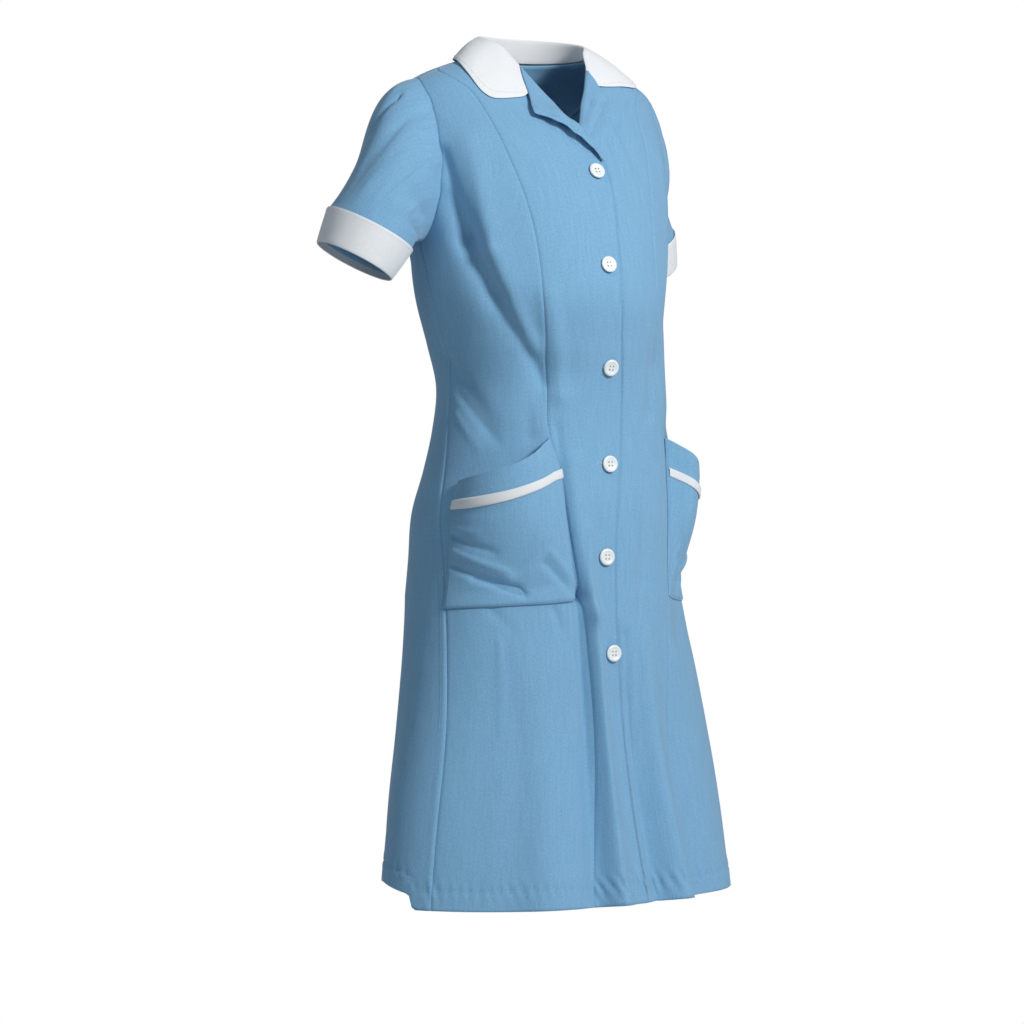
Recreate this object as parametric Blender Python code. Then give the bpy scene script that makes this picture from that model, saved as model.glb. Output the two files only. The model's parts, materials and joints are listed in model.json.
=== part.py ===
"""Button-front work dress with short sleeves, hollow, in the form that it has when worn.

Units are metres, +Z is up and the front faces -Y, so the dress's own right lies at -X. The origin is
the middle of the neck at the height of the shoulders. Every cloth piece is a sheet laid through
points of one body surface, moved out where it lies on another piece, between two skins.
"""

import math

import bmesh
import bpy
import numpy as np
from mathutils import Matrix, Vector

# Driving sizes
CLOTH = 0.0015            # wall of every cloth piece
SEAM = 0.0003             # space between sewn pieces
HEM = -1.0                # height of the front's hem
HEM_RISE_TOP = -0.90      # height at which the back's panels start to be drawn up to their hem
ARMPIT = -0.217           # height of the armhole's lowest point
NECK = 0.014              # height of the neck seam
SHOULDER_SPLIT = -0.004   # height at which the princess seams meet the shoulder seam
SHOULDER_TIP = -0.020     # height of the shoulder seam's outer end
CROSSING = -0.085         # height at which the rolls of the two lapels cross
ROLL_END = -0.125         # height at which the lapels' roll ends, above the first button
ARMHOLE_WIDTH = 15.5      # half-width of the armhole in degrees round the body
ARMHOLE_TURN = 3.0        # degrees by which the armhole's foot lies behind its top
SQUARENESS = 2.2          # exponent of the body's superellipse sections
TILT = 0.036              # rise of the left shoulder for each metre across
TILT_END = -0.35          # height at which the tilt has faded out
GIRTH_RADIUS = 0.16       # mean radius by which fold angles are turned into widths

NECK_ROWS = 4             # rows of faces from the neck to the crossing of the lapels' rolls
ROLL_ROWS = 2             # from there to the end of the roll
CHEST_ROWS = 4            # from there to the armpit
UPPER_ROWS = NECK_ROWS + ROLL_ROWS + CHEST_ROWS
LOWER_ROWS = 19           # from the armpit to the hem
WAIST_ROW = UPPER_ROWS + 4    # row at which the tall panels are parted

LAP_COLUMNS = 3           # columns of a front in the lap, and from the lap to the princess seam
FRONT_COLUMNS = 5
SIDE_FRONT_COLUMNS = 8
SIDE_BACK_COLUMNS = 6
BACK_COLUMNS = 14
NECK_SHARE = 3 / 8            # share of a front's columns whose top lies on the neck seam
BACK_SHOULDER_SHARE = 2 / 7   # share of half the back's columns whose top lies on the shoulder seam
LAP_CLEAR = (0.010, 0.026)    # the left front rises to the body's surface between these, past the lap

ROLL_CURL = ((-0.0013, 0.0000), (-0.0011, 0.0018), (0.0008, 0.0031))  # beyond the roll, and out
CURL_STEP = 0.001         # height by which the roll's direction is measured
LAPEL_COLUMNS = 4
COLLAR_STATIONS = 16      # stations from the centre back to each front end
COLLAR_COLUMNS = 5        # columns of the collar's fall
COLLAR_LIFT = 0.0045      # the fall's edge above the cloth below it
COLLAR_ARCH = 0.004       # rise of the fall's middle above a straight line
STAND_CLEAR = 0.0016      # the collar's foot above the neck seam
STAND_SHARE = 13 / 16     # share of the collar's half at which the neck seam meets the roll
GORGE_CLEAR = 0.0005      # lapel and collar stand back this far from the gorge line

POCKET_LIFT = {-1: 0.0036, 1: 0.0024}     # the pockets' edges above the panel
POCKET_ROWS = 9
POCKET_SETTLED = 0.88     # share of a pocket's depth below which it lies on the panel
POCKET_INNER = 0.02       # share of the side front's width at which the pockets' inner edge stands
POCKET_NARROWEST = 0.06   # least share of that width for a pocket's column
TRIM_DEPTH = 0.0012
TRIM_WIDTH = 0.010

BUTTON_WIDTH = 0.020
BUTTON_DEPTH = 0.0030
BUTTON_DISH = 0.0140      # width of the dished middle
BUTTON_DISH_DEPTH = 0.0006
BUTTON_HOLE = 0.0020
BUTTON_HOLE_SPACING = 0.0042
BUTTON_SIDES = 24
HOLE_SIDES = 6

CUFF_DEPTH = 0.042
CUFF_CLEAR = 0.0021       # the cuff outside the sleeve's end
SLEEVE_TUCK = 0.034       # how far the sleeve's end runs inside the cuff
SLEEVE_CLEAR = 0.0005     # the sleeve's first ring off the body panels
SLEEVE_COLUMNS = 20
SLEEVE_ROWS = 7
CUFF_ROWS = 3

BODY = np.array([
    # height, half_width, front, back, sway, lean
    (0.014, 0.078, 0.040, 0.052, 0.000, 0.033),
    (0.005, 0.109, 0.045, 0.058, 0.000, 0.033),
    (-0.008, 0.146, 0.052, 0.066, 0.000, 0.034),
    (-0.022, 0.172, 0.061, 0.074, -0.001, 0.034),
    (-0.055, 0.185, 0.078, 0.085, -0.002, 0.031),
    (-0.090, 0.187, 0.094, 0.094, -0.003, 0.024),
    (-0.140, 0.180, 0.112, 0.101, -0.005, 0.016),
    (-0.215, 0.166, 0.132, 0.116, -0.011, 0.006),
    (-0.290, 0.156, 0.141, 0.108, -0.014, 0.000),
    (-0.340, 0.151, 0.130, 0.102, -0.005, 0.000),
    (-0.390, 0.149, 0.118, 0.098, 0.005, 0.000),
    (-0.440, 0.155, 0.114, 0.101, 0.006, 0.000),
    (-0.490, 0.163, 0.117, 0.110, 0.003, 0.000),
    (-0.540, 0.172, 0.122, 0.121, -0.002, 0.000),
    (-0.600, 0.176, 0.122, 0.127, -0.002, 0.000),
    (-0.700, 0.195, 0.121, 0.132, 0.005, 0.000),
    (-0.800, 0.215, 0.122, 0.140, 0.012, 0.000),
    (-0.900, 0.232, 0.137, 0.151, 0.013, 0.000),
    (-1.000, 0.240, 0.160, 0.167, 0.011, 0.000),
])

# Seam lines: degrees round the body from the centre front against height. The roll of the lapels
# and the front edge are given for the side that they belong to.
ROLL = np.array([
    # height, degrees
    (0.014, 65.0), (0.000, 50.9), (-0.020, 36.0), (-0.050, 16.5), (-0.085, 0.0),
    (-0.100, -6.5), (-0.113, -10.5), (-0.125, -12.5),
])
FRONT_EDGE = np.array([
    # height, degrees past the centre front
    (-0.125, 12.5), (-0.160, 11.6), (-0.215, 8.6), (-0.270, 7.0), (-0.370, 7.4), (-0.460, 8.6),
    (-0.530, 6.4), (-0.600, 4.6), (-0.690, 3.4), (-0.780, 3.9), (-0.880, 4.2), (-1.000, 5.6),
])
UNDERLAP = np.array([
    # height, degrees past the centre front
    (-0.125, 12.5), (-0.215, 9.0), (-0.400, 9.0), (-0.600, 9.0), (-0.800, 9.0), (-1.000, 8.0),
])
PRINCESS_RIGHT = np.array([
    # height, degrees
    (-0.004, 90.0), (-0.018, 77.5), (-0.034, 68.6), (-0.059, 61.3), (-0.094, 54.0), (-0.132, 47.8),
    (-0.188, 40.1), (-0.219, 37.4), (-0.274, 34.8), (-0.327, 35.7), (-0.380, 38.2), (-0.440, 38.6),
    (-0.495, 30.1), (-0.573, 22.9), (-0.644, 17.8), (-0.714, 16.3), (-0.800, 15.8), (-1.000, 19.5),
])
PRINCESS_LEFT = np.array([
    # height, degrees
    (-0.004, 90.0), (-0.018, 77.5), (-0.034, 68.6), (-0.059, 61.3), (-0.094, 54.0), (-0.132, 47.8),
    (-0.188, 40.1), (-0.274, 36.0), (-0.380, 44.0), (-0.460, 53.0), (-0.560, 52.0), (-0.700, 44.0),
    (-0.850, 37.0), (-1.000, 34.0),
])
SIDE = np.array([
    # height, degrees
    (-0.217, 93.0), (-0.320, 88.0), (-0.409, 89.5), (-0.483, 86.0), (-0.653, 78.0), (-1.000, 74.5),
])
BACK_SEAM = np.array([
    # height, degrees
    (-0.004, 90.0), (-0.018, 106.0), (-0.040, 118.0), (-0.090, 127.0), (-0.160, 133.0),
    (-0.260, 138.0), (-0.400, 138.0), (-0.650, 130.0), (-0.800, 126.0), (-1.000, 123.0),
])

# Soft troughs (negative depth) and ridges of the cloth, each along a line on the body. Degrees are
# negative on the dress's own right. A fold fades along its line from its start depth to its end depth.
FOLDS = np.array([
    # start_deg, start_height, end_deg, end_height, start_width, end_width, start_depth, end_depth
    (-76, -0.165, -38, -0.375, 0.012, 0.030, -0.004, -0.009),   # armpit to waist, the deepest drag
    (-66, -0.100, -45, -0.340, 0.014, 0.020, 0.003, 0.007),     # ridge beside it
    (76, -0.165, 42, -0.360, 0.012, 0.026, -0.003, -0.007),
    (64, -0.110, 48, -0.330, 0.014, 0.020, 0.002, 0.005),
    (-92, -0.350, -66, -0.440, 0.010, 0.014, -0.004, -0.003),   # waist drag lines
    (92, -0.340, 68, -0.430, 0.010, 0.014, -0.004, -0.003),
    (-24, -0.480, -12, -0.660, 0.010, 0.012, 0.002, 0.005),     # ridge beside the placket
    (-12, -0.660, -8, -1.000, 0.012, 0.018, 0.005, 0.012),
    (-34, -0.440, -19.5, -0.640, 0.008, 0.009, -0.002, -0.009),   # groove along the pocket's edge
    (-19.5, -0.640, -19, -1.000, 0.009, 0.016, -0.009, -0.010),
    (-44, -0.660, -40, -1.000, 0.030, 0.040, 0.000, 0.010),     # flutes of the skirt
    (-62, -0.700, -60, -1.000, 0.024, 0.030, 0.000, -0.006),
    (-86, -0.700, -86, -1.000, 0.026, 0.032, 0.000, 0.010),
    (9, -0.690, 13, -1.000, 0.010, 0.016, -0.004, -0.014),
    (24, -0.620, 24, -1.000, 0.020, 0.024, 0.000, 0.010),
    (40, -0.640, 39, -1.000, 0.022, 0.028, 0.000, -0.014),
    (58, -0.440, 58, -0.680, 0.020, 0.030, -0.003, -0.008),     # flat under the left pocket
    (60, -0.700, 60, -1.000, 0.030, 0.034, -0.003, 0.001),
    (88, -0.660, 84, -1.000, 0.022, 0.030, 0.000, -0.016),
    (108, -0.640, 106, -1.000, 0.024, 0.034, 0.000, 0.004),
    (-114, -0.640, -116, -1.000, 0.026, 0.036, 0.000, -0.034),
    (-142, -0.640, -144, -1.000, 0.026, 0.036, 0.000, 0.024),
    (132, -0.660, 130, -1.000, 0.024, 0.032, 0.000, -0.020),
    (155, -0.640, 154, -1.000, 0.026, 0.036, 0.000, 0.018),
    (180, -0.680, 178, -1.000, 0.022, 0.030, 0.000, -0.016),
    (-168, -0.700, -166, -1.000, 0.020, 0.026, 0.000, -0.010),
])
HEM_RISE = np.array([
    # degrees from the centre front, height of the back panels' hem above the front's
    (79.5, 0.000), (81.0, 0.017), (92.0, 0.027), (112.0, 0.032), (180.0, 0.032),
])
BUTTONS = np.array([
    # height, degrees, stand of the button's back above the cloth
    (-0.136, 3.9, 0.0009), (-0.250, 0.3, 0.0006), (-0.369, -0.2, 0.0009),
    (-0.4835, 0.4, 0.0009), (-0.593, -1.2, 0.0009), (-0.707, 0.4, 0.0009),
])

# The lapels, each on its own side: where the roll and the outer edge stand at each row. The first row
# is the gorge seam, the third holds the lapel's corner.
LAPEL_RIGHT = np.array([
    # roll_height, edge_degrees, edge_height, lift
    (-0.0040, 38.1, -0.0406, 0.0042), (-0.0200, 37.3, -0.0550, 0.0045),
    (-0.0370, 36.5, -0.0695, 0.0050), (-0.0560, 20.4, -0.0797, 0.0060),
    (-0.0780, 6.8, -0.0937, 0.0055), (-0.1000, -3.5, -0.1095, 0.0045),
    (-0.1215, -10.6, -0.1240, 0.0034),
])
LAPEL_LEFT = np.array([
    # roll_height, edge_degrees, edge_height, lift
    (-0.0040, 43.0, -0.0250, 0.0042), (-0.0150, 43.5, -0.0335, 0.0045),
    (-0.0270, 44.0, -0.0425, 0.0050), (-0.0420, 29.0, -0.0590, 0.0055),
    (-0.0570, 18.0, -0.0745, 0.0050), (-0.0740, 8.5, -0.0900, 0.0040),
])

# The collar's half plan, each side's own, from the centre back to the gorge's roll end
COLLAR_ROLL = np.array([
    # share, x, y, height
    (0.00, 0.000, 0.077, 0.046), (0.22, 0.036, 0.070, 0.045), (0.42, 0.062, 0.050, 0.041),
    (0.60, 0.071, 0.024, 0.035), (0.80, 0.063, 0.007, 0.025), (1.00, 0.049, -0.006, 0.004),
])
COLLAR_EDGE_RIGHT = np.array([
    # share, x, y of the outer edge, round the tip and along the front edge to the notch
    (0.00, 0.000, 0.096), (0.15, 0.046, 0.090), (0.30, 0.090, 0.066), (0.42, 0.113, 0.036),
    (0.52, 0.124, 0.008), (0.62, 0.123, -0.014), (0.70, 0.117, -0.026), (0.76, 0.108, -0.033),
    (0.84, 0.092, -0.037), (0.92, 0.074, -0.039), (1.00, 0.056, -0.0395),
])
COLLAR_EDGE_LEFT = np.array([
    # share, x, y of the outer edge, round the tip and along the front edge to the notch
    (0.00, 0.000, 0.096), (0.15, 0.046, 0.090), (0.30, 0.090, 0.068), (0.42, 0.114, 0.042),
    (0.52, 0.132, 0.018), (0.62, 0.140, 0.000), (0.70, 0.138, -0.012), (0.76, 0.128, -0.019),
    (0.84, 0.108, -0.023), (0.92, 0.084, -0.026), (1.00, 0.058, -0.028),
])

# The pockets, each on its own side: where the edges stand at each share from the outer edge inwards
POCKET_RIGHT = np.array([
    # share, top_height, foot_height, gape
    (0.00, -0.506, -0.653, 0.000), (0.22, -0.503, -0.651, 0.020), (0.45, -0.494, -0.649, 0.030),
    (0.70, -0.477, -0.647, 0.026), (0.90, -0.460, -0.645, 0.010), (1.00, -0.453, -0.644, 0.000),
])
POCKET_LEFT = np.array([
    # share, top_height, foot_height, gape
    (0.00, -0.500, -0.650, 0.000), (0.22, -0.496, -0.649, 0.022), (0.45, -0.487, -0.647, 0.032),
    (0.70, -0.470, -0.645, 0.028), (0.90, -0.456, -0.643, 0.010), (1.00, -0.450, -0.642, 0.000),
])
POCKET_OUTER = 78.0       # degrees of the pockets' outer edge
TRIM_DROP = (0.022, 0.036)    # the braid's top below the pocket's top, at its outer and inner end

# Sleeves: middle of the cuff's foot, the arm's direction and the direction of the cuff's outer side
ARMS = {
    -1: ((-0.267, 0.020, -0.2475), (-0.405, 0.193, -0.900), (-0.720, 0.540, 0.440)),
    1: ((0.213, 0.083, -0.2300), (0.450, 0.250, -0.860), (0.850, -0.100, 0.450)),
}
# How a sleeve leaves the armhole: outward at its top and at its foot, and upward at its top
SLEEVE_LEAVE = {-1: (0.48, 0.80, 0.30), 1: (0.25, 0.82, 0.25)}
SLEEVE_FLARE = 0.27       # how far the outer side turns outward just above the cuff
SLEEVE_DIP = {-1: 0.003, 1: 0.008}    # hollow of the outer side below the shoulder
CUFF_TOP = (0.0530, 0.0550)    # half-widths of the cuff at its top, outward and forward
CUFF_FOOT = (0.0460, 0.0505)


def smooth_rows(table, height):
    """Values of a table's columns at a height, through its rows, with smooth slopes."""
    order = np.argsort(table[:, 0])
    knots = table[order, 0]
    values = table[order, 1:]
    height = np.clip(height, knots[0], knots[-1])
    step = np.diff(knots)[:, None]
    rise = np.diff(values, axis=0) / step
    slope = np.empty_like(values)
    slope[1:-1] = (step[1:] * rise[:-1] + step[:-1] * rise[1:]) / (step[:-1] + step[1:])
    slope[0] = rise[0]
    slope[-1] = rise[-1]
    row = np.clip(np.searchsorted(knots, height, side="right") - 1, 0, len(knots) - 2)
    span = step[row, 0][..., None]
    t = (height - knots[row])[..., None] / span
    return ((2 * t**3 - 3 * t**2 + 1) * values[row] + (t**3 - 2 * t**2 + t) * span * slope[row]
            + (3 * t**2 - 2 * t**3) * values[row + 1] + (t**3 - t**2) * span * slope[row + 1])


def degrees_at(table, height):
    """Degrees of a seam line at each height, read straight between the table's rows."""
    order = np.argsort(table[:, 0])
    return np.interp(height, table[order, 0], table[order, 1])


def plain_body(degrees, height):
    """Points of the body surface without its folds."""
    degrees, height = np.broadcast_arrays(np.asarray(degrees, float), np.asarray(height, float))
    half_width, front, back, sway, lean = np.moveaxis(smooth_rows(BODY, height), -1, 0)
    across = np.sin(np.radians(degrees))
    forward = np.cos(np.radians(degrees))
    depth = np.where(forward > 0, front, back)
    radius = (np.abs(across / half_width)**SQUARENESS
              + np.abs(forward / depth)**SQUARENESS)**(-1 / SQUARENESS)
    x = sway + radius * across
    y = lean - radius * forward
    fade = np.clip((height - TILT_END) / (NECK - TILT_END), 0, 1)
    return np.stack([x, y, height + TILT * x * fade], -1)


def fold_depth(degrees, height):
    """How far the folds move the cloth out of the plain body."""
    total = np.zeros(np.broadcast(degrees, height).shape)
    for row in FOLDS:
        start_deg, start_height, end_deg, end_height, start_width, end_width, shallow, deep = row
        across = np.radians((degrees - start_deg + 180) % 360 - 180) * GIRTH_RADIUS
        down = height - start_height
        run = math.radians(end_deg - start_deg) * GIRTH_RADIUS
        drop = end_height - start_height
        t = np.clip((across * run + down * drop) / (run**2 + drop**2), 0, 1)
        distance = np.hypot(across - t * run, down - t * drop)
        width = start_width + t * (end_width - start_width)
        total += (shallow + t * (deep - shallow)) * np.exp(-(distance / width)**2)
    return total


def surface_normal(surface, degrees, height):
    """Outward normals of a surface given as a function of degrees and height."""
    turn = 0.5
    rise = 0.002
    around = surface(degrees + turn, height) - surface(degrees - turn, height)
    upward = surface(degrees, height + rise) - surface(degrees, height - rise)
    normal = np.cross(around, upward)
    return normal / np.linalg.norm(normal, axis=-1, keepdims=True)


def folded_body(degrees, height):
    """Points of the body surface with its folds."""
    degrees, height = np.broadcast_arrays(np.asarray(degrees, float), np.asarray(height, float))
    depth = fold_depth(degrees, height)[..., None]
    return plain_body(degrees, height) + depth * surface_normal(plain_body, degrees, height)


def cloth_point(degrees, height, out=0.0):
    """Points of the worn cloth, moved out of it by a distance."""
    degrees, height, out = np.broadcast_arrays(np.asarray(degrees, float),
                                               np.asarray(height, float), np.asarray(out, float))
    return folded_body(degrees, height) + out[..., None] * surface_normal(folded_body, degrees, height)


def cloth_skins(grid, out=0.0):
    """Outer and inner skin of cloth laid through a grid of degrees and height."""
    return tuple(cloth_point(grid[..., 0], grid[..., 1], out + half)
                 for half in (CLOTH / 2, -CLOTH / 2))


def rows_below(top):
    """Heights of the rows of a seam that starts at a top height, down to the hem."""
    return np.concatenate([
        np.linspace(top, CROSSING, NECK_ROWS + 1)[:-1],
        np.linspace(CROSSING, ROLL_END, ROLL_ROWS + 1)[:-1],
        np.linspace(ROLL_END, ARMPIT, CHEST_ROWS + 1)[:-1],
        np.linspace(ARMPIT, HEM, LOWER_ROWS + 1),
    ])


def seam_line(table, top, side):
    """A seam as rows of degrees and height."""
    height = rows_below(top)
    return np.stack([side * degrees_at(table, height), height], -1)


def armhole_point(angle):
    """Degrees and height of the armhole's oval on the left side. The angle starts at the
    shoulder tip, and grows down the front edge to the foot."""
    centre = (SHOULDER_TIP + ARMPIT) / 2
    half_height = (SHOULDER_TIP - ARMPIT) / 2
    height = centre + half_height * np.cos(angle)
    middle = 90.0 + ARMHOLE_TURN * (SHOULDER_TIP - height) / (SHOULDER_TIP - ARMPIT)
    return np.stack([middle - ARMHOLE_WIDTH * np.sin(angle), height], -1)


def side_line(side, facing):
    """The outer boundary of a side panel: round the armhole, then down the side seam.
    Facing is 1 for the front panel and -1 for the back one."""
    oval = armhole_point(facing * np.linspace(0, math.pi, UPPER_ROWS + 1))
    height = rows_below(SHOULDER_TIP)[UPPER_ROWS + 1:]
    line = np.concatenate([oval, np.stack([degrees_at(SIDE, height), height], -1)])
    return line * (side, 1)


def between(first, second, columns):
    """Rows of degrees and height spread evenly from one seam line to another."""
    share = np.linspace(0, 1, columns + 1)[None, :, None]
    return first[:, None, :] * (1 - share) + second[:, None, :] * share


def follow_top(grid, top):
    """Lifts a panel's rows so that the first follows its top edge, fading down to the crossing."""
    rows = np.arange(len(grid))
    fade = np.clip(1 - rows / NECK_ROWS, 0, 1)**2
    return grid + fade[:, None, None] * (top - grid[0])[None]


def metres_per_step(grid):
    """Metres on the body for one degree round it and for one unit of height, at each grid point."""
    turn = 0.5
    rise = 0.002
    degrees, height = grid[..., 0], grid[..., 1]
    around = (plain_body(degrees + turn, height) - plain_body(degrees - turn, height)) / (2 * turn)
    low = np.maximum(height - rise, HEM)
    high = np.minimum(height + rise, NECK)
    upward = (plain_body(degrees, high) - plain_body(degrees, low)) / (high - low)[..., None]
    return np.stack([np.linalg.norm(around, axis=-1), np.linalg.norm(upward, axis=-1)], -1)


def spare_seams(grid):
    """Draws a panel's four borders in by half a seam's space."""
    scale = metres_per_step(grid)
    flat = grid * scale
    moved = grid.copy()
    views = ((flat, scale, moved), tuple(part.transpose(1, 0, 2) for part in (flat, scale, moved)))
    for points, steps, result in views:
        for border, inner in ((0, 1), (-1, -2)):
            along = np.gradient(points[border] / steps[border], axis=0) * steps[border]
            across = np.stack([-along[:, 1], along[:, 0]], -1)
            across /= np.linalg.norm(across, axis=-1, keepdims=True)
            toward = (points[inner] / steps[inner] - points[border] / steps[border]) * steps[border]
            across *= np.sign(np.sum(across * toward, -1, keepdims=True))
            result[border] += across * (SEAM / 2) / steps[border]
    return moved


def raised_hem(grid):
    """Lifts a panel's lowest rows to the hem of the back, which is higher than the front's."""
    turn = np.abs((grid[..., 0] + 180) % 360 - 180)
    rise = np.interp(turn, HEM_RISE[:, 0], HEM_RISE[:, 1])
    fall = np.clip((HEM_RISE_TOP - grid[..., 1]) / (HEM_RISE_TOP - HEM), 0, 1)
    return grid + np.stack([np.zeros_like(rise), rise * fall**2], -1)


def grid_skins(points, thickness, ring=False):
    """Outer and inner skin of a sheet given by its middle points, in rows and columns."""
    if ring:
        wrapped = np.concatenate([points[:, -2:-1], points, points[:, 1:2]], axis=1)
        along = np.gradient(wrapped, axis=1)[:, 1:-1]
    else:
        along = np.gradient(points, axis=1)
    down = np.gradient(points, axis=0)
    normal = np.cross(down, along)
    normal /= np.linalg.norm(normal, axis=-1, keepdims=True)
    return points + normal * thickness / 2, points - normal * thickness / 2


def material(name, colour, roughness):
    """A plain principled material."""
    made = bpy.data.materials.new(name)
    made.use_nodes = True
    shader = made.node_tree.nodes["Principled BSDF"]
    shader.inputs["Base Color"].default_value = (*colour, 1.0)
    shader.inputs["Roughness"].default_value = roughness
    made.diffuse_color = (*colour, 1.0)
    return made


class Dress:
    """The collection that holds the pieces, and their materials."""

    def __init__(self):
        self.collection = bpy.data.collections.new("work_dress")
        self.cutters = bpy.data.collections.new("cutters")
        for group in (self.collection, self.cutters):
            bpy.context.scene.collection.children.link(group)
        self.blue = material("blue_cloth", (0.20, 0.39, 0.56), 0.85)
        self.white = material("white_cloth", (0.88, 0.88, 0.88), 0.80)
        self.plastic = material("white_plastic", (0.90, 0.90, 0.88), 0.35)

    def add(self, name, shape, finish):
        """Links a bmesh as a named piece."""
        mesh = bpy.data.meshes.new(name)
        shape.to_mesh(mesh)
        shape.free()
        mesh.materials.append(finish)
        mesh.shade_smooth()
        piece = bpy.data.objects.new(name, mesh)
        self.collection.objects.link(piece)
        return piece

    def sheet(self, name, skins, finish, ring=False):
        """A cloth piece between two skins, outer and inner, each in rows and columns of points.
        A ring's last column lies on its first and is merged with it."""
        outer, inner = skins
        rows, columns = outer.shape[:2]
        shape = bmesh.new()
        bmesh.ops.create_grid(shape, x_segments=columns - 1, y_segments=rows - 1, size=0.5)
        slot = shape.verts.layers.int.new("slot")
        for index, vert in enumerate(shape.verts):
            vert[slot] = index
            vert.co = inner.reshape(-1, 3)[index]
        if ring:
            bmesh.ops.remove_doubles(shape, verts=shape.verts, dist=1e-6)
        made = bmesh.ops.extrude_face_region(shape, geom=shape.faces[:])["geom"]
        for vert in made:
            if isinstance(vert, bmesh.types.BMVert):
                vert.co = outer.reshape(-1, 3)[vert[slot]]
        bmesh.ops.recalc_face_normals(shape, faces=shape.faces[:])
        return self.add(name, shape, finish)


def tall_panel(dress, name, grid):
    """A panel that reaches from the shoulder to the hem, in two solids that meet at the waist."""
    lower = grid[WAIST_ROW:].copy()
    step = (grid[WAIST_ROW, :1, 1:] - grid[WAIST_ROW + 1, :1, 1:]).max()
    lower[0] += (grid[WAIST_ROW + 1] - grid[WAIST_ROW]) * SEAM / step
    dress.sheet(name + "_bodice", cloth_skins(grid[:WAIST_ROW + 1]), dress.blue)
    dress.sheet(name + "_skirt", cloth_skins(lower), dress.blue)


def lap_lines(height):
    """Degrees of the right front's edge and of the left front's edge at each height."""
    upper = height >= ROLL_END
    right_edge = np.where(upper, -degrees_at(ROLL, height), degrees_at(FRONT_EDGE, height))
    left_edge = np.where(upper, degrees_at(ROLL, height), -degrees_at(UNDERLAP, height))
    return right_edge, left_edge


def under_lap(degrees, height):
    """How far the left front lies under the right one, fading out past the right one's edge."""
    past = np.radians(degrees - lap_lines(height)[0]) * GIRTH_RADIUS
    near, far = LAP_CLEAR
    return -(CLOTH + 2 * SEAM) * np.clip((far - past) / (far - near), 0, 1)


def front_grid(side):
    """Rows of degrees and height of a centre front, with the same columns on both in the lap."""
    height = rows_below(NECK)
    right_edge, left_edge = lap_lines(height)
    lap = np.maximum(right_edge - left_edge, 4.0)
    start = left_edge if side > 0 else right_edge
    first = np.stack([start, height], -1)
    last = np.stack([start + side * lap, height], -1)
    princess = seam_line(PRINCESS_LEFT if side > 0 else PRINCESS_RIGHT, SHOULDER_SPLIT, side)
    grid = np.concatenate([between(first, last, LAP_COLUMNS)[:, :-1],
                           between(last, princess, FRONT_COLUMNS)], axis=1)
    share = np.linspace(0, 1, grid.shape[1])
    neck_start = degrees_at(ROLL, NECK)
    top = np.stack([
        side * (neck_start + (90.0 - neck_start) * np.clip(share / NECK_SHARE, 0, 1)),
        NECK + (SHOULDER_SPLIT - NECK) * np.clip((share - NECK_SHARE) / (1 - NECK_SHARE), 0, 1),
    ], -1)
    return spare_seams(follow_top(grid, top))


def front_panel(dress, side):
    """A centre front, from the roll and the front edge to the princess seam."""
    grid = front_grid(side)
    out = under_lap(grid[..., 0], grid[..., 1]) if side > 0 else 0.0
    name = "front_left" if side > 0 else "front_right"
    dress.sheet(name, cloth_skins(grid, out), dress.blue)


def side_front_grid(side):
    """Rows of degrees and height of a side front, from the princess seam outwards."""
    princess = PRINCESS_LEFT if side > 0 else PRINCESS_RIGHT
    return spare_seams(between(seam_line(princess, SHOULDER_SPLIT, side), side_line(side, 1),
                               SIDE_FRONT_COLUMNS))


def side_front_panel(dress, side):
    """A side front, from the princess seam to the armhole and the side seam."""
    name = "side_front_left" if side > 0 else "side_front_right"
    tall_panel(dress, name, side_front_grid(side))


def side_back_panel(dress, side):
    """A side back, from the armhole and the side seam to the back seam."""
    grid = between(side_line(side, -1), seam_line(BACK_SEAM, SHOULDER_SPLIT, side),
                   SIDE_BACK_COLUMNS)
    name = "side_back_left" if side > 0 else "side_back_right"
    tall_panel(dress, name, raised_hem(spare_seams(grid)))


def back_panel(dress):
    """The centre back, between the back seams."""
    left = seam_line(BACK_SEAM, SHOULDER_SPLIT, 1)
    right = left * (-1, 1) + (360.0, 0)
    grid = between(left, right, BACK_COLUMNS)
    across = np.linspace(-1, 1, BACK_COLUMNS + 1)
    share = 1 - np.abs(across)
    top = np.stack([
        180.0 + 90.0 * np.sign(across) * (1 - np.clip((share - BACK_SHOULDER_SHARE)
                                                      / (1 - BACK_SHOULDER_SHARE), 0, 1)),
        SHOULDER_SPLIT + (NECK - SHOULDER_SPLIT) * np.clip(share / BACK_SHOULDER_SHARE, 0, 1),
    ], -1)
    tall_panel(dress, "back", raised_hem(spare_seams(follow_top(grid, top))))


def cuff_frame(side):
    """Foot, axis and cross directions of a cuff: outward from the body, and forward."""
    foot, axis, outward = (np.array(part) for part in ARMS[side])
    axis = axis / np.linalg.norm(axis)
    outward = outward - axis * np.dot(outward, axis)
    outward = outward / np.linalg.norm(outward)
    forward = np.cross(axis, outward) * -side
    if forward[1] > 0:
        forward = -forward
    return foot, axis, outward, forward


def cuff_ring(side, angle, drop, out=0.0):
    """Points round a cuff at a distance below its top; the angle starts at its outer side."""
    foot, axis, outward, forward = cuff_frame(side)
    share = drop / CUFF_DEPTH
    half = [top + (low - top) * share + out for top, low in zip(CUFF_TOP, CUFF_FOOT)]
    centre = foot - axis * (CUFF_DEPTH - drop)
    return (centre + np.cos(angle)[:, None] * half[0] * outward
            + np.sin(angle)[:, None] * half[1] * forward)


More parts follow.
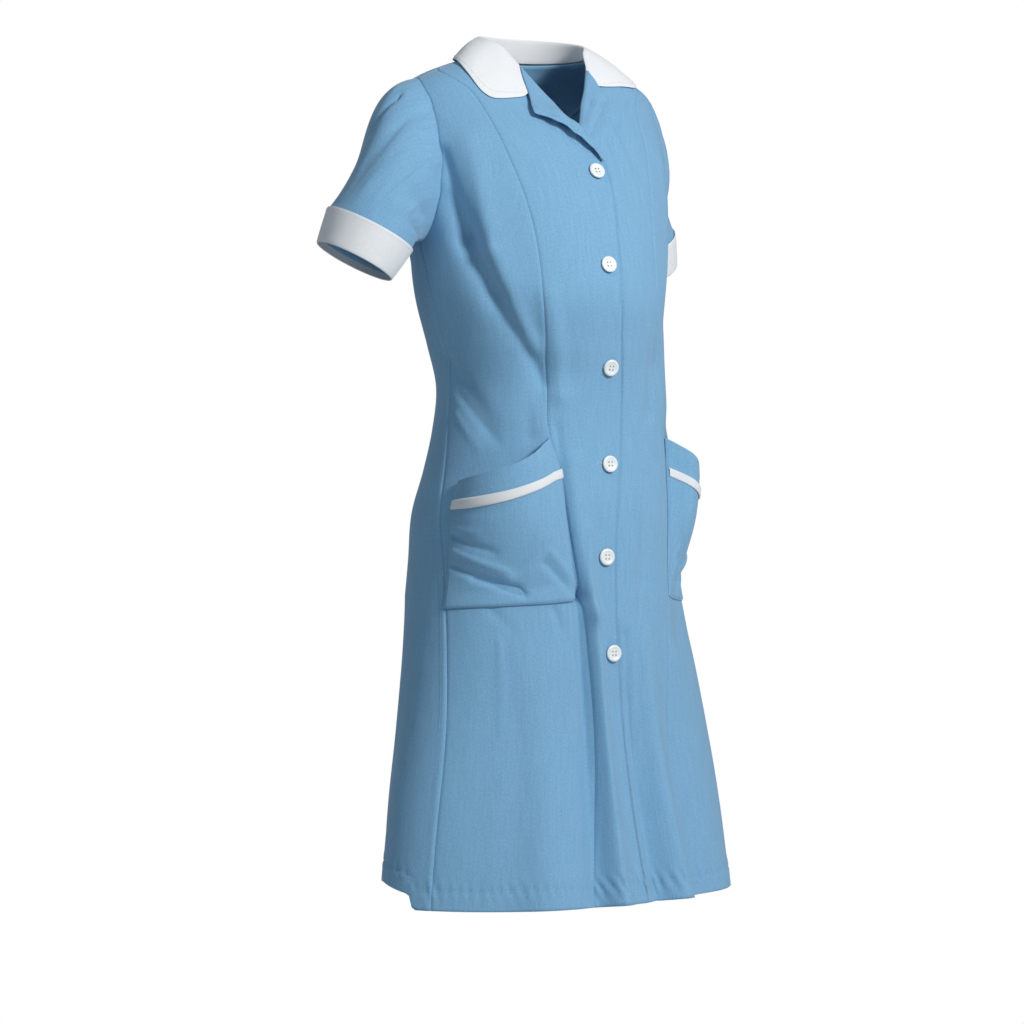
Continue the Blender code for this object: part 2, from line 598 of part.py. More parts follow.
def sleeve_rings(side):
    """Rings of a sleeve from the armhole to its end inside the cuff."""
    angle = np.linspace(0, 2 * math.pi, SLEEVE_COLUMNS + 1)
    hole = armhole_point(angle) * (side, 1)
    start = cloth_point(hole[:, 0], hole[:, 1])
    normal = surface_normal(folded_body, hole[:, 0], hole[:, 1])
    end = cuff_ring(side, angle, 0.0)
    reach = end - start
    length = np.linalg.norm(reach, axis=1, keepdims=True)
    outer = np.clip(np.cos(angle), 0, 1)[:, None]
    at_top, at_foot, upward = SLEEVE_LEAVE[side]
    outward = at_foot + (at_top - at_foot) * (1 + np.cos(angle)[:, None]) / 2
    leave = unit(reach / length + outward * normal + outer * (0, 0, upward))
    axis, outside = cuff_frame(side)[1:3]
    arrive = unit(axis + 0.3 * reach / length + SLEEVE_FLARE * outer * outside)
    lean = np.sqrt(1 - np.sum(leave * normal, axis=1, keepdims=True)**2)
    start = start + normal * (CLOTH / 2 * (1 + lean) + SLEEVE_CLEAR)
    rings = []
    for t in np.linspace(0, 1, SLEEVE_ROWS + 1):
        dip = SLEEVE_DIP[side] * math.sin(math.pi * t**1.4)**2 * outer * outside
        rings.append((2 * t**3 - 3 * t**2 + 1) * start + (3 * t**2 - 2 * t**3) * end
                     + (t**3 - 2 * t**2 + t) * length * leave + (t**3 - t**2) * length * arrive - dip)
    for drop in (SLEEVE_TUCK / 2, SLEEVE_TUCK):
        rings.append(cuff_ring(side, angle, drop))
    return np.array(rings)


def sleeve(dress, side):
    """A short set-in sleeve."""
    name = "sleeve_left" if side > 0 else "sleeve_right"
    rings = sleeve_rings(side)
    skins = grid_skins(rings if side > 0 else rings[:, ::-1], CLOTH, ring=True)
    dress.sheet(name, skins, dress.blue, ring=True)


def cuff(dress, side):
    """The turned-up white band round a sleeve's end."""
    name = "cuff_left" if side > 0 else "cuff_right"
    angle = np.linspace(0, 2 * math.pi, SLEEVE_COLUMNS + 1)
    rings = np.array([cuff_ring(side, angle, drop, CUFF_CLEAR)
                      for drop in np.linspace(0, CUFF_DEPTH, CUFF_ROWS + 1)])
    dress.sheet(name, grid_skins(rings, CLOTH, ring=True), dress.white, ring=True)


def unit(vectors):
    """Vectors scaled to length one."""
    return vectors / np.linalg.norm(vectors, axis=-1, keepdims=True)


def roll_curl(side, heights):
    """Where cloth turned out over the roll stands: columns of points beyond it, on it and over it."""
    degrees = side * degrees_at(ROLL, heights)
    point = cloth_point(degrees, heights)
    above = cloth_point(side * degrees_at(ROLL, heights + CURL_STEP), heights + CURL_STEP)
    below = cloth_point(side * degrees_at(ROLL, heights - CURL_STEP), heights - CURL_STEP)
    normal = surface_normal(folded_body, degrees, heights)
    inward = unit(np.cross(above - below, normal)) * side
    return np.stack([point + beyond * inward + out * normal for beyond, out in ROLL_CURL], 1)


def gorge_line(side, columns, aside):
    """Points of the seam between lapel and collar, from the roll to the notch, moved towards the
    collar by a distance."""
    table = LAPEL_LEFT if side > 0 else LAPEL_RIGHT
    roll_height, edge_degrees, edge_height, lift = table[0]
    share = np.linspace(0, 1, columns + 1)
    degrees = side * (degrees_at(ROLL, roll_height) * (1 - share) + edge_degrees * share)
    height = roll_height * (1 - share) + edge_height * share
    out = ROLL_CURL[-1][1] * (1 - share) + lift * share
    point = cloth_point(degrees, height, out)
    across = unit(np.cross(surface_normal(folded_body, degrees, height), np.gradient(point, axis=0)))
    return (point + across * aside * side)[1:]


def lapel(dress, side):
    """The turned-back facing, from the roll to its outer edge."""
    name = "lapel_left" if side > 0 else "lapel_right"
    table = LAPEL_LEFT if side > 0 else LAPEL_RIGHT
    curl = roll_curl(side, table[:, 0] - SEAM)
    share = np.linspace(0, 1, LAPEL_COLUMNS + 1)[1:]
    near = 1 - share
    degrees = degrees_at(ROLL, table[:, :1]) * near + table[:, 1:2] * share
    height = table[:, :1] * near + table[:, 2:3] * share
    out = ROLL_CURL[-1][1] * near + table[:, 3:4] * share
    fall = cloth_point(side * degrees, height, out)
    fall[0] = gorge_line(side, LAPEL_COLUMNS, -GORGE_CLEAR)
    points = np.concatenate([curl, fall], axis=1)
    skins = grid_skins(points if side > 0 else points[:, ::-1], CLOTH)
    dress.sheet(name, skins, dress.blue)


def height_over(x, y):
    """Height of the body's shoulders and chest over a point of the plan."""
    low = np.full(np.shape(x), ARMPIT)
    high = np.full(np.shape(x), NECK)
    for _ in range(40):
        middle = (low + high) / 2
        half_width, front, back, sway, lean = np.moveaxis(smooth_rows(BODY, middle), -1, 0)
        depth = np.where(y < lean, front, back)
        inside = (np.abs((x - sway) / half_width)**SQUARENESS
                  + np.abs((y - lean) / depth)**SQUARENESS) < 1
        low = np.where(inside, middle, low)
        high = np.where(inside, high, middle)
    fade = (low - TILT_END) / (NECK - TILT_END)
    return low + TILT * x * fade


def collar_half(side):
    """Rows of the collar from the centre back to its front end."""
    share = np.linspace(0, 1, COLLAR_STATIONS + 1)
    edge_table = COLLAR_EDGE_LEFT if side > 0 else COLLAR_EDGE_RIGHT
    roll = smooth_rows(COLLAR_ROLL, share)
    edge = smooth_rows(edge_table, share)
    roll[:, 2] += TILT * side * roll[:, 0]
    gorge_height = LAPEL_LEFT[0, 0]
    ring = share < STAND_SHARE
    seam_degrees = 180.0 - (180.0 - degrees_at(ROLL, NECK)) * share / STAND_SHARE
    foot = cloth_point(side * seam_degrees, NECK) + (0, 0, STAND_CLEAR)
    past = (share - STAND_SHARE) / (1 - STAND_SHARE)
    seam_height = NECK + (gorge_height - NECK) * past
    curl = roll_curl(side, np.minimum(seam_height, NECK - CURL_STEP))
    foot[~ring] = curl[~ring, 0]
    foot[share == STAND_SHARE] += (0, 0, STAND_CLEAR + CURL_STEP)
    top = roll * (side, 1, 1)
    blend = np.clip(past, 0, 1)[:, None]**2
    top = top * (1 - blend) + curl[:, 2] * blend
    middle = (foot + top) / 2
    middle = middle * (1 - blend) + curl[:, 1] * blend
    fall = []
    for w in np.linspace(0, 1, COLLAR_COLUMNS + 1)[1:]:
        plan = top[:, :2] * (1 - w) + edge * (side, 1) * w
        floor = height_over(plan[:, 0], plan[:, 1])
        edge_height = height_over(edge[:, 0] * side, edge[:, 1]) + COLLAR_LIFT
        line = top[:, 2] * (1 - w) + edge_height * w + COLLAR_ARCH * math.sin(math.pi * w)
        fall.append(np.column_stack([plan, np.maximum(line, floor + COLLAR_LIFT)]))
    fall = np.stack(fall, 1)
    fall[-1] = gorge_line(side, COLLAR_COLUMNS, GORGE_CLEAR)
    return np.concatenate([np.stack([foot, middle, top], 1), fall], axis=1)


def collar(dress):
    """The white collar in one piece: stand, roll and fall, with its two rounded tips."""
    right = collar_half(-1)[::-1]
    left = collar_half(1)[1:]
    points = np.concatenate([right, left])
    dress.sheet("collar", grid_skins(points, CLOTH), dress.white)


def on_panel(grid, share, height):
    """Points and normals on a panel's facets, at shares across it and heights below the armpit."""
    base = cloth_point(grid[..., 0], grid[..., 1])
    normal = surface_normal(folded_body, grid[..., 0], grid[..., 1])
    rows = UPPER_ROWS + (ARMPIT - height) / (ARMPIT - HEM) * LOWER_ROWS
    row = np.clip(rows.astype(int), 0, len(grid) - 2)
    columns = share * (grid.shape[1] - 1)
    column = np.clip(columns.astype(int), 0, grid.shape[1] - 2)
    down = (rows - row)[..., None]
    across = (columns - column)[..., None]

    def mix(field):
        near = field[row, column] * (1 - across) + field[row, column + 1] * across
        far = field[row + 1, column] * (1 - across) + field[row + 1, column + 1] * across
        return near * (1 - down) + far * down

    return mix(base), unit(mix(normal))


def pocket_rows(side):
    """Rows of a pocket's middle points: its top, the braid's two edges, then down to its foot."""
    table = POCKET_LEFT if side > 0 else POCKET_RIGHT
    grid = side_front_grid(side)
    steps = SIDE_FRONT_COLUMNS
    outer = degrees_at(SIDE, (table[0, 1] + table[0, 2]) / 2)
    inner = abs(grid[UPPER_ROWS + 8, 0, 0])
    outer_share = (POCKET_OUTER - inner) / (outer - inner)
    panel_share = np.arange(steps - 1, 0, -1) / steps
    whole = panel_share[panel_share <= outer_share - POCKET_NARROWEST]
    panel_share = np.concatenate([[outer_share], whole, [POCKET_INNER]])
    share = 1 - (panel_share - panel_share[-1]) / (panel_share[0] - panel_share[-1])
    top, foot, gape = (np.interp(share, table[:, 0], table[:, k]) for k in (1, 2, 3))
    trim_top = top - (TRIM_DROP[0] + (TRIM_DROP[1] - TRIM_DROP[0]) * share)
    trim_foot = trim_top - TRIM_WIDTH
    lower = [trim_foot + (foot - trim_foot) * t for t in np.linspace(0, 1, POCKET_ROWS - 1)]
    height = np.array([top, trim_top] + lower)
    base, normal = on_panel(grid, np.broadcast_to(panel_share, height.shape), height)
    fallen = (top - height) / (top - foot)
    out = POCKET_LIFT[side] + gape * np.cos(np.clip(fallen / POCKET_SETTLED, 0, 1) * math.pi / 2)
    return base + normal * out[..., None]


def pocket(dress, side):
    """A slanted patch pocket that stands open, and the braid along its top."""
    ending = "left" if side > 0 else "right"
    rows = pocket_rows(side)
    if side > 0:
        rows = rows[:, ::-1]
    outer, inner = grid_skins(rows, CLOTH)
    dress.sheet("pocket_" + ending, (outer, inner), dress.blue)
    normal = unit(outer - inner)
    braid = slice(1, 3)
    low = outer[braid] + normal[braid] * SEAM
    high = low + normal[braid] * TRIM_DEPTH
    dress.sheet("pocket_trim_" + ending, (high, low), dress.white)


def cylinder(name, width, depth, sides, matrix, collection):
    """A plain closed cylinder as an object, placed by a matrix."""
    shape = bmesh.new()
    bmesh.ops.create_cone(shape, cap_ends=True, segments=sides, radius1=width / 2,
                          radius2=width / 2, depth=depth)
    mesh = bpy.data.meshes.new(name)
    shape.to_mesh(mesh)
    shape.free()
    made = bpy.data.objects.new(name, mesh)
    made.matrix_world = matrix
    collection.objects.link(made)
    return made


def button(dress, number, height, degrees, stand):
    """A four-hole button on the right front."""
    out = CLOTH / 2 + stand + BUTTON_DEPTH / 2
    place = Vector(cloth_point(degrees, height, out))
    facing = Vector(surface_normal(folded_body, np.array(degrees), np.array(height)))
    turn = facing.to_track_quat("Z", "Y")
    matrix = Matrix.LocRotScale(place, turn, None)
    piece = cylinder(f"button_{number}", BUTTON_WIDTH, BUTTON_DEPTH, BUTTON_SIDES, matrix,
                     dress.collection)
    piece.data.materials.append(dress.plastic)
    holes = [(x * BUTTON_HOLE_SPACING / 2, y * BUTTON_HOLE_SPACING / 2)
             for x in (-1, 1) for y in (-1, 1)]
    for index, (x, y) in enumerate(holes):
        hole = cylinder(f"hole_{number}_{index + 1}", BUTTON_HOLE, 3 * BUTTON_DEPTH, HOLE_SIDES,
                        matrix @ Matrix.Translation((x, y, 0)), dress.cutters)
        cut(piece, hole)
    rise = (BUTTON_DEPTH + BUTTON_DISH_DEPTH * 2) / 2
    dish = cylinder(f"dish_{number}", BUTTON_DISH, 4 * BUTTON_DISH_DEPTH, BUTTON_SIDES,
                    matrix @ Matrix.Translation((0, 0, rise)), dress.cutters)
    cut(piece, dish)


def cut(piece, cutter):
    """Cuts a hidden cutter out of a piece."""
    cutter.hide_render = True
    cutter.display_type = "WIRE"
    away = piece.modifiers.new(cutter.name, "BOOLEAN")
    away.operation = "DIFFERENCE"
    away.object = cutter


def clear_scene():
    """Removes every object of the start-up scene."""
    for item in list(bpy.data.objects):
        bpy.data.objects.remove(item, do_unlink=True)


def build():
    """Makes every piece of the dress."""
    clear_scene()
    dress = Dress()
    for side in (-1, 1):
        front_panel(dress, side)
        side_front_panel(dress, side)
        side_back_panel(dress, side)
        sleeve(dress, side)
        cuff(dress, side)
        lapel(dress, side)
        pocket(dress, side)
    back_panel(dress)
    collar(dress)
    for number, (height, degrees, stand) in enumerate(BUTTONS, start=1):
        button(dress, number, height, degrees, stand)


build()
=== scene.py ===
"""Looks of the button-front work dress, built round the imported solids.

Every cloth piece is laid again through the same body surface that the solids use, in a fine grid,
with its seams, small creases, stitching and weave. Units are metres, +Z is up and the front faces
-Y, so the dress's own right lies at -X.
"""

from __future__ import annotations

import json
import logging
import math
from collections.abc import Callable
from dataclasses import dataclass, field
from enum import Enum

import bmesh
import bpy
import numpy as np
from mathutils import Matrix, Vector

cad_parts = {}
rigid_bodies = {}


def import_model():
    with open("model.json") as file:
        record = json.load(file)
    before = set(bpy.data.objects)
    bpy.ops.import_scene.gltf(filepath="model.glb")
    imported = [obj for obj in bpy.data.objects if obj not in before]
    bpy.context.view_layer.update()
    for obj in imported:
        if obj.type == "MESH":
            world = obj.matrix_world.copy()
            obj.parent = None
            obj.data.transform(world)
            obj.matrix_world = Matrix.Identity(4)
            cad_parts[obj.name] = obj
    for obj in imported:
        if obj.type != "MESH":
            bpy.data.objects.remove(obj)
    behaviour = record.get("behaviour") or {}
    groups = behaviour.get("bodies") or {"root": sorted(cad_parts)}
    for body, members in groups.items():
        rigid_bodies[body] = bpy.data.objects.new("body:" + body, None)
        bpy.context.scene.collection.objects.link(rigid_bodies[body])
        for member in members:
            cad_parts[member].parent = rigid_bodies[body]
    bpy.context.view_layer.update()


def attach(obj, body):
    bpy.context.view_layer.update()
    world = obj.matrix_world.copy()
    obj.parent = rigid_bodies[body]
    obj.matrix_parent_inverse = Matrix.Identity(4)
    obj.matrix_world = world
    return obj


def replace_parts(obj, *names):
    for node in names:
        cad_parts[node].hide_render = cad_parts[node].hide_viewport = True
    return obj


log = logging.getLogger("work_dress")

Array = np.ndarray
Colour = tuple[float, float, float]
Socket = bpy.types.NodeSocket

BODY_NAME = "root"
UV_NAME = "cloth"
BLUE_SLOT = "blue_cloth"
WHITE_SLOT = "white_cloth"
BUTTON_SLOT = "white_plastic"

# ---------------------------------------------------------------------------------------------
# The worn form: the same driving sizes as the solids
# ---------------------------------------------------------------------------------------------

# Heights of the seams' ends and of the front's crossing
HEM = -1.0
HEM_RISE_TOP = -0.90
ARMPIT = -0.217
NECK = 0.014
SHOULDER_SPLIT = -0.004
SHOULDER_TIP = -0.020
CROSSING = -0.085
ROLL_END = -0.125
# Rows of a panel from its top to the crossing, and to the armpit
NECK_ROWS = 32
UPPER_ROWS = 72
ARMHOLE_WIDTH = 15.5
ARMHOLE_TURN = 3.0
SQUARENESS = 2.2
TILT = 0.036
TILT_END = -0.35
GIRTH_RADIUS = 0.16
NECK_SHARE = 3 / 8
BACK_SHOULDER_SHARE = 2 / 7
WALL = 0.0015
# How the left front sinks under the right one, and how it falls away in the skirt
LAP_DROP = 0.0021
LAP_CLEAR = (0.0030, 0.0068)
LAP_SKIRT = -0.66
LAP_FADE = 0.10
LAP_WIDER = 0.018
LAP_DEEPER = 0.004
# Cloth turned out over the roll: how far beyond it and out of it
CURL_STEP = 0.001
ROLL_CURL = ((-0.0013, 0.0000), (-0.0011, 0.0018), (0.0008, 0.0031))
STAND_SHARE = 13 / 16
STAND_CLEAR = 0.0016
COLLAR_LIFT = 0.0045
COLLAR_ARCH = 0.004
CUFF_DEPTH = 0.042
CUFF_CLEAR = 0.0021
SLEEVE_TUCK = 0.034
SLEEVE_FLARE = 0.27
# Half widths of the cuff's ends: outward from the body, and forward
CUFF_TOP = (0.0530, 0.0550)
CUFF_FOOT = (0.0460, 0.0505)

BODY = np.array([
    # height, half_width, front, back, sway, lean
    (0.014, 0.078, 0.040, 0.052, 0.000, 0.033),
    (0.005, 0.109, 0.045, 0.058, 0.000, 0.033),
    (-0.008, 0.146, 0.052, 0.066, 0.000, 0.034),
    (-0.022, 0.172, 0.061, 0.074, -0.001, 0.034),
    (-0.055, 0.185, 0.078, 0.085, -0.002, 0.031),
    (-0.090, 0.187, 0.094, 0.094, -0.003, 0.024),
    (-0.140, 0.180, 0.112, 0.101, -0.005, 0.016),
    (-0.215, 0.166, 0.132, 0.116, -0.011, 0.006),
    (-0.290, 0.156, 0.141, 0.108, -0.014, 0.000),
    (-0.340, 0.151, 0.130, 0.102, -0.005, 0.000),
    (-0.390, 0.149, 0.118, 0.098, 0.005, 0.000),
    (-0.440, 0.155, 0.114, 0.101, 0.006, 0.000),
    (-0.490, 0.163, 0.117, 0.110, 0.003, 0.000),
    (-0.540, 0.172, 0.122, 0.121, -0.002, 0.000),
    (-0.600, 0.176, 0.122, 0.127, -0.002, 0.000),
    (-0.700, 0.195, 0.121, 0.132, 0.005, 0.000),
    (-0.800, 0.215, 0.122, 0.140, 0.012, 0.000),
    (-0.900, 0.232, 0.137, 0.151, 0.013, 0.000),
    (-1.000, 0.240, 0.160, 0.167, 0.011, 0.000),
])
ROLL = np.array([
    # height, degrees
    (0.014, 65.0), (0.000, 50.9), (-0.020, 36.0), (-0.050, 16.5), (-0.085, 0.0),
    (-0.100, -6.5), (-0.113, -10.5), (-0.125, -12.5),
])
FRONT_EDGE = np.array([
    # height, degrees past the centre front
    (-0.125, 12.5), (-0.160, 11.6), (-0.215, 8.6), (-0.270, 7.0), (-0.370, 7.4), (-0.460, 8.6),
    (-0.530, 6.4), (-0.600, 4.6), (-0.690, 3.4), (-0.780, 3.9), (-0.880, 4.2), (-1.000, 5.6),
])
UNDERLAP = np.array([
    # height, degrees past the centre front
    (-0.125, 12.5), (-0.215, 9.0), (-0.400, 9.0), (-0.600, 9.0), (-0.800, 9.0), (-1.000, 8.0),
])
# Both princess seams share their upper part
PRINCESS_TOP = [
    # height, degrees
    (-0.004, 90.0), (-0.018, 77.5), (-0.034, 68.6), (-0.059, 61.3), (-0.094, 54.0), (-0.132, 47.8),
    (-0.188, 40.1),
]
PRINCESS = {
    -1: np.array(PRINCESS_TOP + [
        (-0.219, 37.4), (-0.274, 34.8), (-0.327, 35.7), (-0.380, 38.2), (-0.440, 38.6),
        (-0.495, 30.1), (-0.573, 22.9), (-0.644, 17.8), (-0.714, 16.3), (-0.800, 15.8),
        (-1.000, 19.5),
    ]),
    1: np.array(PRINCESS_TOP + [
        (-0.274, 36.0), (-0.380, 44.0), (-0.460, 53.0), (-0.560, 52.0), (-0.700, 44.0),
        (-0.850, 37.0), (-1.000, 34.0),
    ]),
}
SIDE = np.array([
    # height, degrees
    (-0.217, 93.0), (-0.320, 88.0), (-0.409, 89.5), (-0.483, 86.0), (-0.653, 78.0), (-1.000, 74.5),
])
BACK_SEAM = np.array([
    # height, degrees
    (-0.004, 90.0), (-0.018, 106.0), (-0.040, 118.0), (-0.090, 127.0), (-0.160, 133.0),
    (-0.260, 138.0), (-0.400, 138.0), (-0.650, 130.0), (-0.800, 126.0), (-1.000, 123.0),
])
FOLDS = np.array([
    # start_deg, start_height, end_deg, end_height, start_width, end_width, start_depth, end_depth
    (-76, -0.165, -38, -0.375, 0.012, 0.030, -0.004, -0.009),
    (-66, -0.100, -45, -0.340, 0.014, 0.020, 0.003, 0.007),
    (76, -0.165, 42, -0.360, 0.012, 0.026, -0.003, -0.007),
    (64, -0.110, 48, -0.330, 0.014, 0.020, 0.002, 0.005),
    (-92, -0.350, -66, -0.440, 0.010, 0.014, -0.004, -0.003),
    (92, -0.340, 68, -0.430, 0.010, 0.014, -0.004, -0.003),
    (-24, -0.480, -12, -0.660, 0.010, 0.012, 0.002, 0.005),
    (-12, -0.660, -8, -1.000, 0.012, 0.018, 0.005, 0.012),
    (-34, -0.440, -19.5, -0.640, 0.008, 0.009, -0.002, -0.009),
    (-19.5, -0.640, -19, -1.000, 0.009, 0.016, -0.009, -0.010),
    (-44, -0.660, -40, -1.000, 0.030, 0.040, 0.000, 0.010),
    (-62, -0.700, -60, -1.000, 0.024, 0.030, 0.000, -0.006),
    (-86, -0.700, -86, -1.000, 0.026, 0.032, 0.000, 0.010),
    (9, -0.690, 13, -1.000, 0.010, 0.016, -0.004, -0.014),
    (24, -0.620, 24, -1.000, 0.020, 0.024, 0.000, 0.010),
    (40, -0.640, 39, -1.000, 0.022, 0.028, 0.000, -0.014),
    (58, -0.440, 58, -0.680, 0.020, 0.030, -0.003, -0.008),
    (60, -0.700, 60, -1.000, 0.030, 0.034, -0.003, 0.001),
    (88, -0.660, 84, -1.000, 0.022, 0.030, 0.000, -0.016),
    (108, -0.640, 106, -1.000, 0.024, 0.034, 0.000, 0.004),
    (-114, -0.640, -116, -1.000, 0.026, 0.036, 0.000, -0.034),
    (-142, -0.640, -144, -1.000, 0.026, 0.036, 0.000, 0.024),
    (132, -0.660, 130, -1.000, 0.024, 0.032, 0.000, -0.020),
    (155, -0.640, 154, -1.000, 0.026, 0.036, 0.000, 0.018),
    (180, -0.680, 178, -1.000, 0.022, 0.030, 0.000, -0.016),
    (-168, -0.700, -166, -1.000, 0.020, 0.026, 0.000, -0.010),
])
# Small creases that the solids leave out, in the same columns
CREASES = np.array([
    # start_deg, start_height, end_deg, end_height, start_width, end_width, start_depth, end_depth
    (-75, -0.115, -68, -0.220, 0.008, 0.012, -0.0055, -0.0080),
    (-68, -0.220, -55, -0.290, 0.012, 0.014, -0.0065, -0.0050),
    (-55, -0.290, -41, -0.388, 0.014, 0.008, -0.0045, -0.0035),
    (-64, -0.130, -57, -0.235, 0.008, 0.010, 0.0010, 0.0040),
    (-57, -0.235, -42, -0.350, 0.010, 0.010, 0.0040, 0.0030),
    (-32, -0.290, -33, -0.400, 0.014, 0.016, 0.0040, 0.0070),
    (-84, -0.400, -62, -0.458, 0.004, 0.007, -0.0018, -0.0012),
    (-84, -0.425, -70, -0.466, 0.004, 0.006, 0.0016, 0.0008),
    (-50, -0.390, -48, -0.450, 0.008, 0.010, 0.0000, -0.0022),
    (-60, -0.655, -50, -0.690, 0.005, 0.009, -0.0020, 0.0000),
    (-34, -0.655, -28, -0.700, 0.005, 0.009, -0.0024, 0.0000),
    (27, -0.094, 24, -0.175, 0.009, 0.013, -0.0040, 0.0000),
    (40, -0.070, 36, -0.150, 0.008, 0.010, -0.0045, 0.0000),
    (-36, -0.063, -20, -0.073, 0.007, 0.008, 0.0020, 0.0028),
    (-20, -0.073, -6.5, -0.087, 0.008, 0.008, 0.0028, 0.0028),
    (-6.5, -0.087, 3.5, -0.103, 0.008, 0.007, 0.0028, 0.0022),
    (40, -0.034, 27, -0.056, 0.006, 0.006, 0.0020, 0.0028),
    (27, -0.056, 10, -0.082, 0.006, 0.006, 0.0028, 0.0024),
    (30, -0.300, 34, -0.420, 0.008, 0.012, 0.0000, -0.0040),
    (28, -0.480, 26, -0.620, 0.008, 0.010, 0.0000, -0.0030),
    (18, -0.480, 17, -0.640, 0.006, 0.010, 0.0000, 0.0020),
    (-97, -0.740, -100, -0.980, 0.008, 0.012, 0.0000, -0.0060),
    (-52, -0.720, -50, -1.000, 0.012, 0.018, 0.0000, -0.0060),
    (-58, -0.690, -58, -0.800, 0.003, 0.004, 0.0016, 0.0004),
    (-13, -0.560, -11, -1.000, 0.008, 0.012, 0.0030, 0.0080),
    (8, -0.690, 9, -1.000, 0.006, 0.010, 0.0020, 0.0090),
    (17, -0.660, 18, -1.000, 0.010, 0.014, 0.0000, -0.0080),
    (27, -0.640, 28, -1.000, 0.012, 0.016, 0.0000, 0.0080),
])
# The same for the back, on both of its sides
BACK_CREASES = np.array([
    (120, -0.330, 140, -0.450, 0.008, 0.014, -0.0040, -0.0010),
    (150, -0.380, 172, -0.430, 0.008, 0.012, -0.0030, -0.0008),
    (112, -0.240, 128, -0.330, 0.008, 0.012, -0.0030, -0.0008),
])
HEM_RISE = np.array([
    # degrees from the centre front, height of the back panels' hem above the front's
    (79.5, 0.000), (81.0, 0.017), (92.0, 0.027), (112.0, 0.032), (180.0, 0.032),
])
BUTTONS = np.array([
    # height, degrees, stand of the button's back above the cloth
    (-0.136, 3.9, 0.0009), (-0.250, 0.3, 0.0006), (-0.369, -0.2, 0.0009),
    (-0.4835, 0.4, 0.0009), (-0.593, -1.2, 0.0009), (-0.707, 0.4, 0.0009),
])
LAPEL = {
    -1: np.array([
        # roll_height, edge_degrees, edge_height, lift
        (-0.0040, 38.1, -0.0406, 0.0042), (-0.0200, 37.3, -0.0550, 0.0055),
        (-0.0370, 36.5, -0.0695, 0.0075), (-0.0560, 20.4, -0.0797, 0.0105),
        (-0.0780, 6.8, -0.0937, 0.0100), (-0.1000, -3.5, -0.1095, 0.0080),
        (-0.1215, -10.6, -0.1240, 0.0045),
    ]),
    1: np.array([
        # roll_height, edge_degrees, edge_height, lift
        (-0.0040, 43.0, -0.0250, 0.0042), (-0.0150, 43.5, -0.0335, 0.0045),
        (-0.0270, 44.0, -0.0425, 0.0050), (-0.0420, 29.0, -0.0590, 0.0055),
        (-0.0570, 18.0, -0.0745, 0.0050), (-0.0740, 8.5, -0.0900, 0.0040),
        (-0.0815, 6.0, -0.0968, 0.0024),
    ]),
}
LAPEL_CORNER = 2
COLLAR_ROLL = np.array([
    # share, x, y, height
    (0.00, 0.000, 0.077, 0.046), (0.22, 0.036, 0.070, 0.045), (0.42, 0.062, 0.050, 0.041),
    (0.60, 0.071, 0.024, 0.035), (0.80, 0.063, 0.007, 0.025), (1.00, 0.049, -0.006, 0.004),
])
COLLAR_EDGE = {
    -1: np.array([
        # share, x, y
        (0.00, 0.000, 0.096), (0.15, 0.046, 0.090), (0.30, 0.090, 0.066), (0.42, 0.113, 0.036),
        (0.52, 0.124, 0.008), (0.62, 0.123, -0.014), (0.70, 0.117, -0.026), (0.76, 0.108, -0.033),
        (0.84, 0.092, -0.037), (0.92, 0.074, -0.039), (1.00, 0.056, -0.0395),
    ]),
    1: np.array([
        # share, x, y
        (0.00, 0.000, 0.096), (0.15, 0.046, 0.090), (0.30, 0.090, 0.068), (0.42, 0.114, 0.042),
        (0.52, 0.134, 0.024), (0.62, 0.144, 0.010), (0.70, 0.143, 0.000), (0.76, 0.133, -0.008),
        (0.84, 0.110, -0.016), (0.92, 0.085, -0.023), (1.00, 0.058, -0.028),
    ]),
}
POCKET = {
    -1: np.array([
        # share, top_height, foot_height, gape
        (0.00, -0.506, -0.653, 0.000), (0.22, -0.503, -0.651, 0.020), (0.45, -0.494, -0.649, 0.030),
        (0.70, -0.477, -0.647, 0.026), (0.90, -0.460, -0.645, 0.010), (1.00, -0.453, -0.644, 0.000),
    ]),
    1: np.array([
        # share, top_height, foot_height, gape
        (0.00, -0.500, -0.650, 0.000), (0.22, -0.496, -0.649, 0.022), (0.45, -0.487, -0.647, 0.032),
        (0.70, -0.470, -0.645, 0.028), (0.90, -0.456, -0.643, 0.010), (1.00, -0.450, -0.642, 0.000),
    ]),
}
# Diagonal creases of the pockets: shares across and down, width and depth
POCKET_CREASES = np.array([
    # start_across, start_down, end_across, end_down, start_width, end_width, start_depth, end_depth
    (0.02, 0.42, 0.34, 0.58, 0.022, 0.034, -0.0044, -0.0022),
    (0.02, 0.36, 0.24, 0.42, 0.022, 0.030, 0.0026, 0.0010),
    (0.04, 0.54, 0.44, 0.76, 0.024, 0.032, 0.0036, 0.0024),
    (0.02, 0.66, 0.48, 0.88, 0.024, 0.034, -0.0046, -0.0052),
    (0.20, 0.78, 0.52, 0.92, 0.020, 0.026, -0.0030, -0.0044),
    (0.46, 0.76, 0.66, 0.62, 0.034, 0.044, -0.0030, -0.0010),
    (0.70, 0.72, 0.90, 0.93, 0.034, 0.026, -0.0030, -0.0022),
    (0.76, 0.66, 0.95, 0.88, 0.024, 0.022, 0.0020, 0.0014),
    (0.05, 0.24, 0.40, 0.28, 0.034, 0.044, -0.0024, -0.0010),
])
POCKET_OUTER = 78.0
POCKET_INNER = 0.02
POCKET_LIFT = {-1: 0.0036, 1: 0.0024}
POCKET_SETTLED = 0.88
# How far the outer edge moves in at the top of the pocket, and how much less at its foot
POCKET_SLANT = {-1: (0.100, 0.175), 1: (0.0, 0.0)}
TRIM_DROP = (0.022, 0.036)
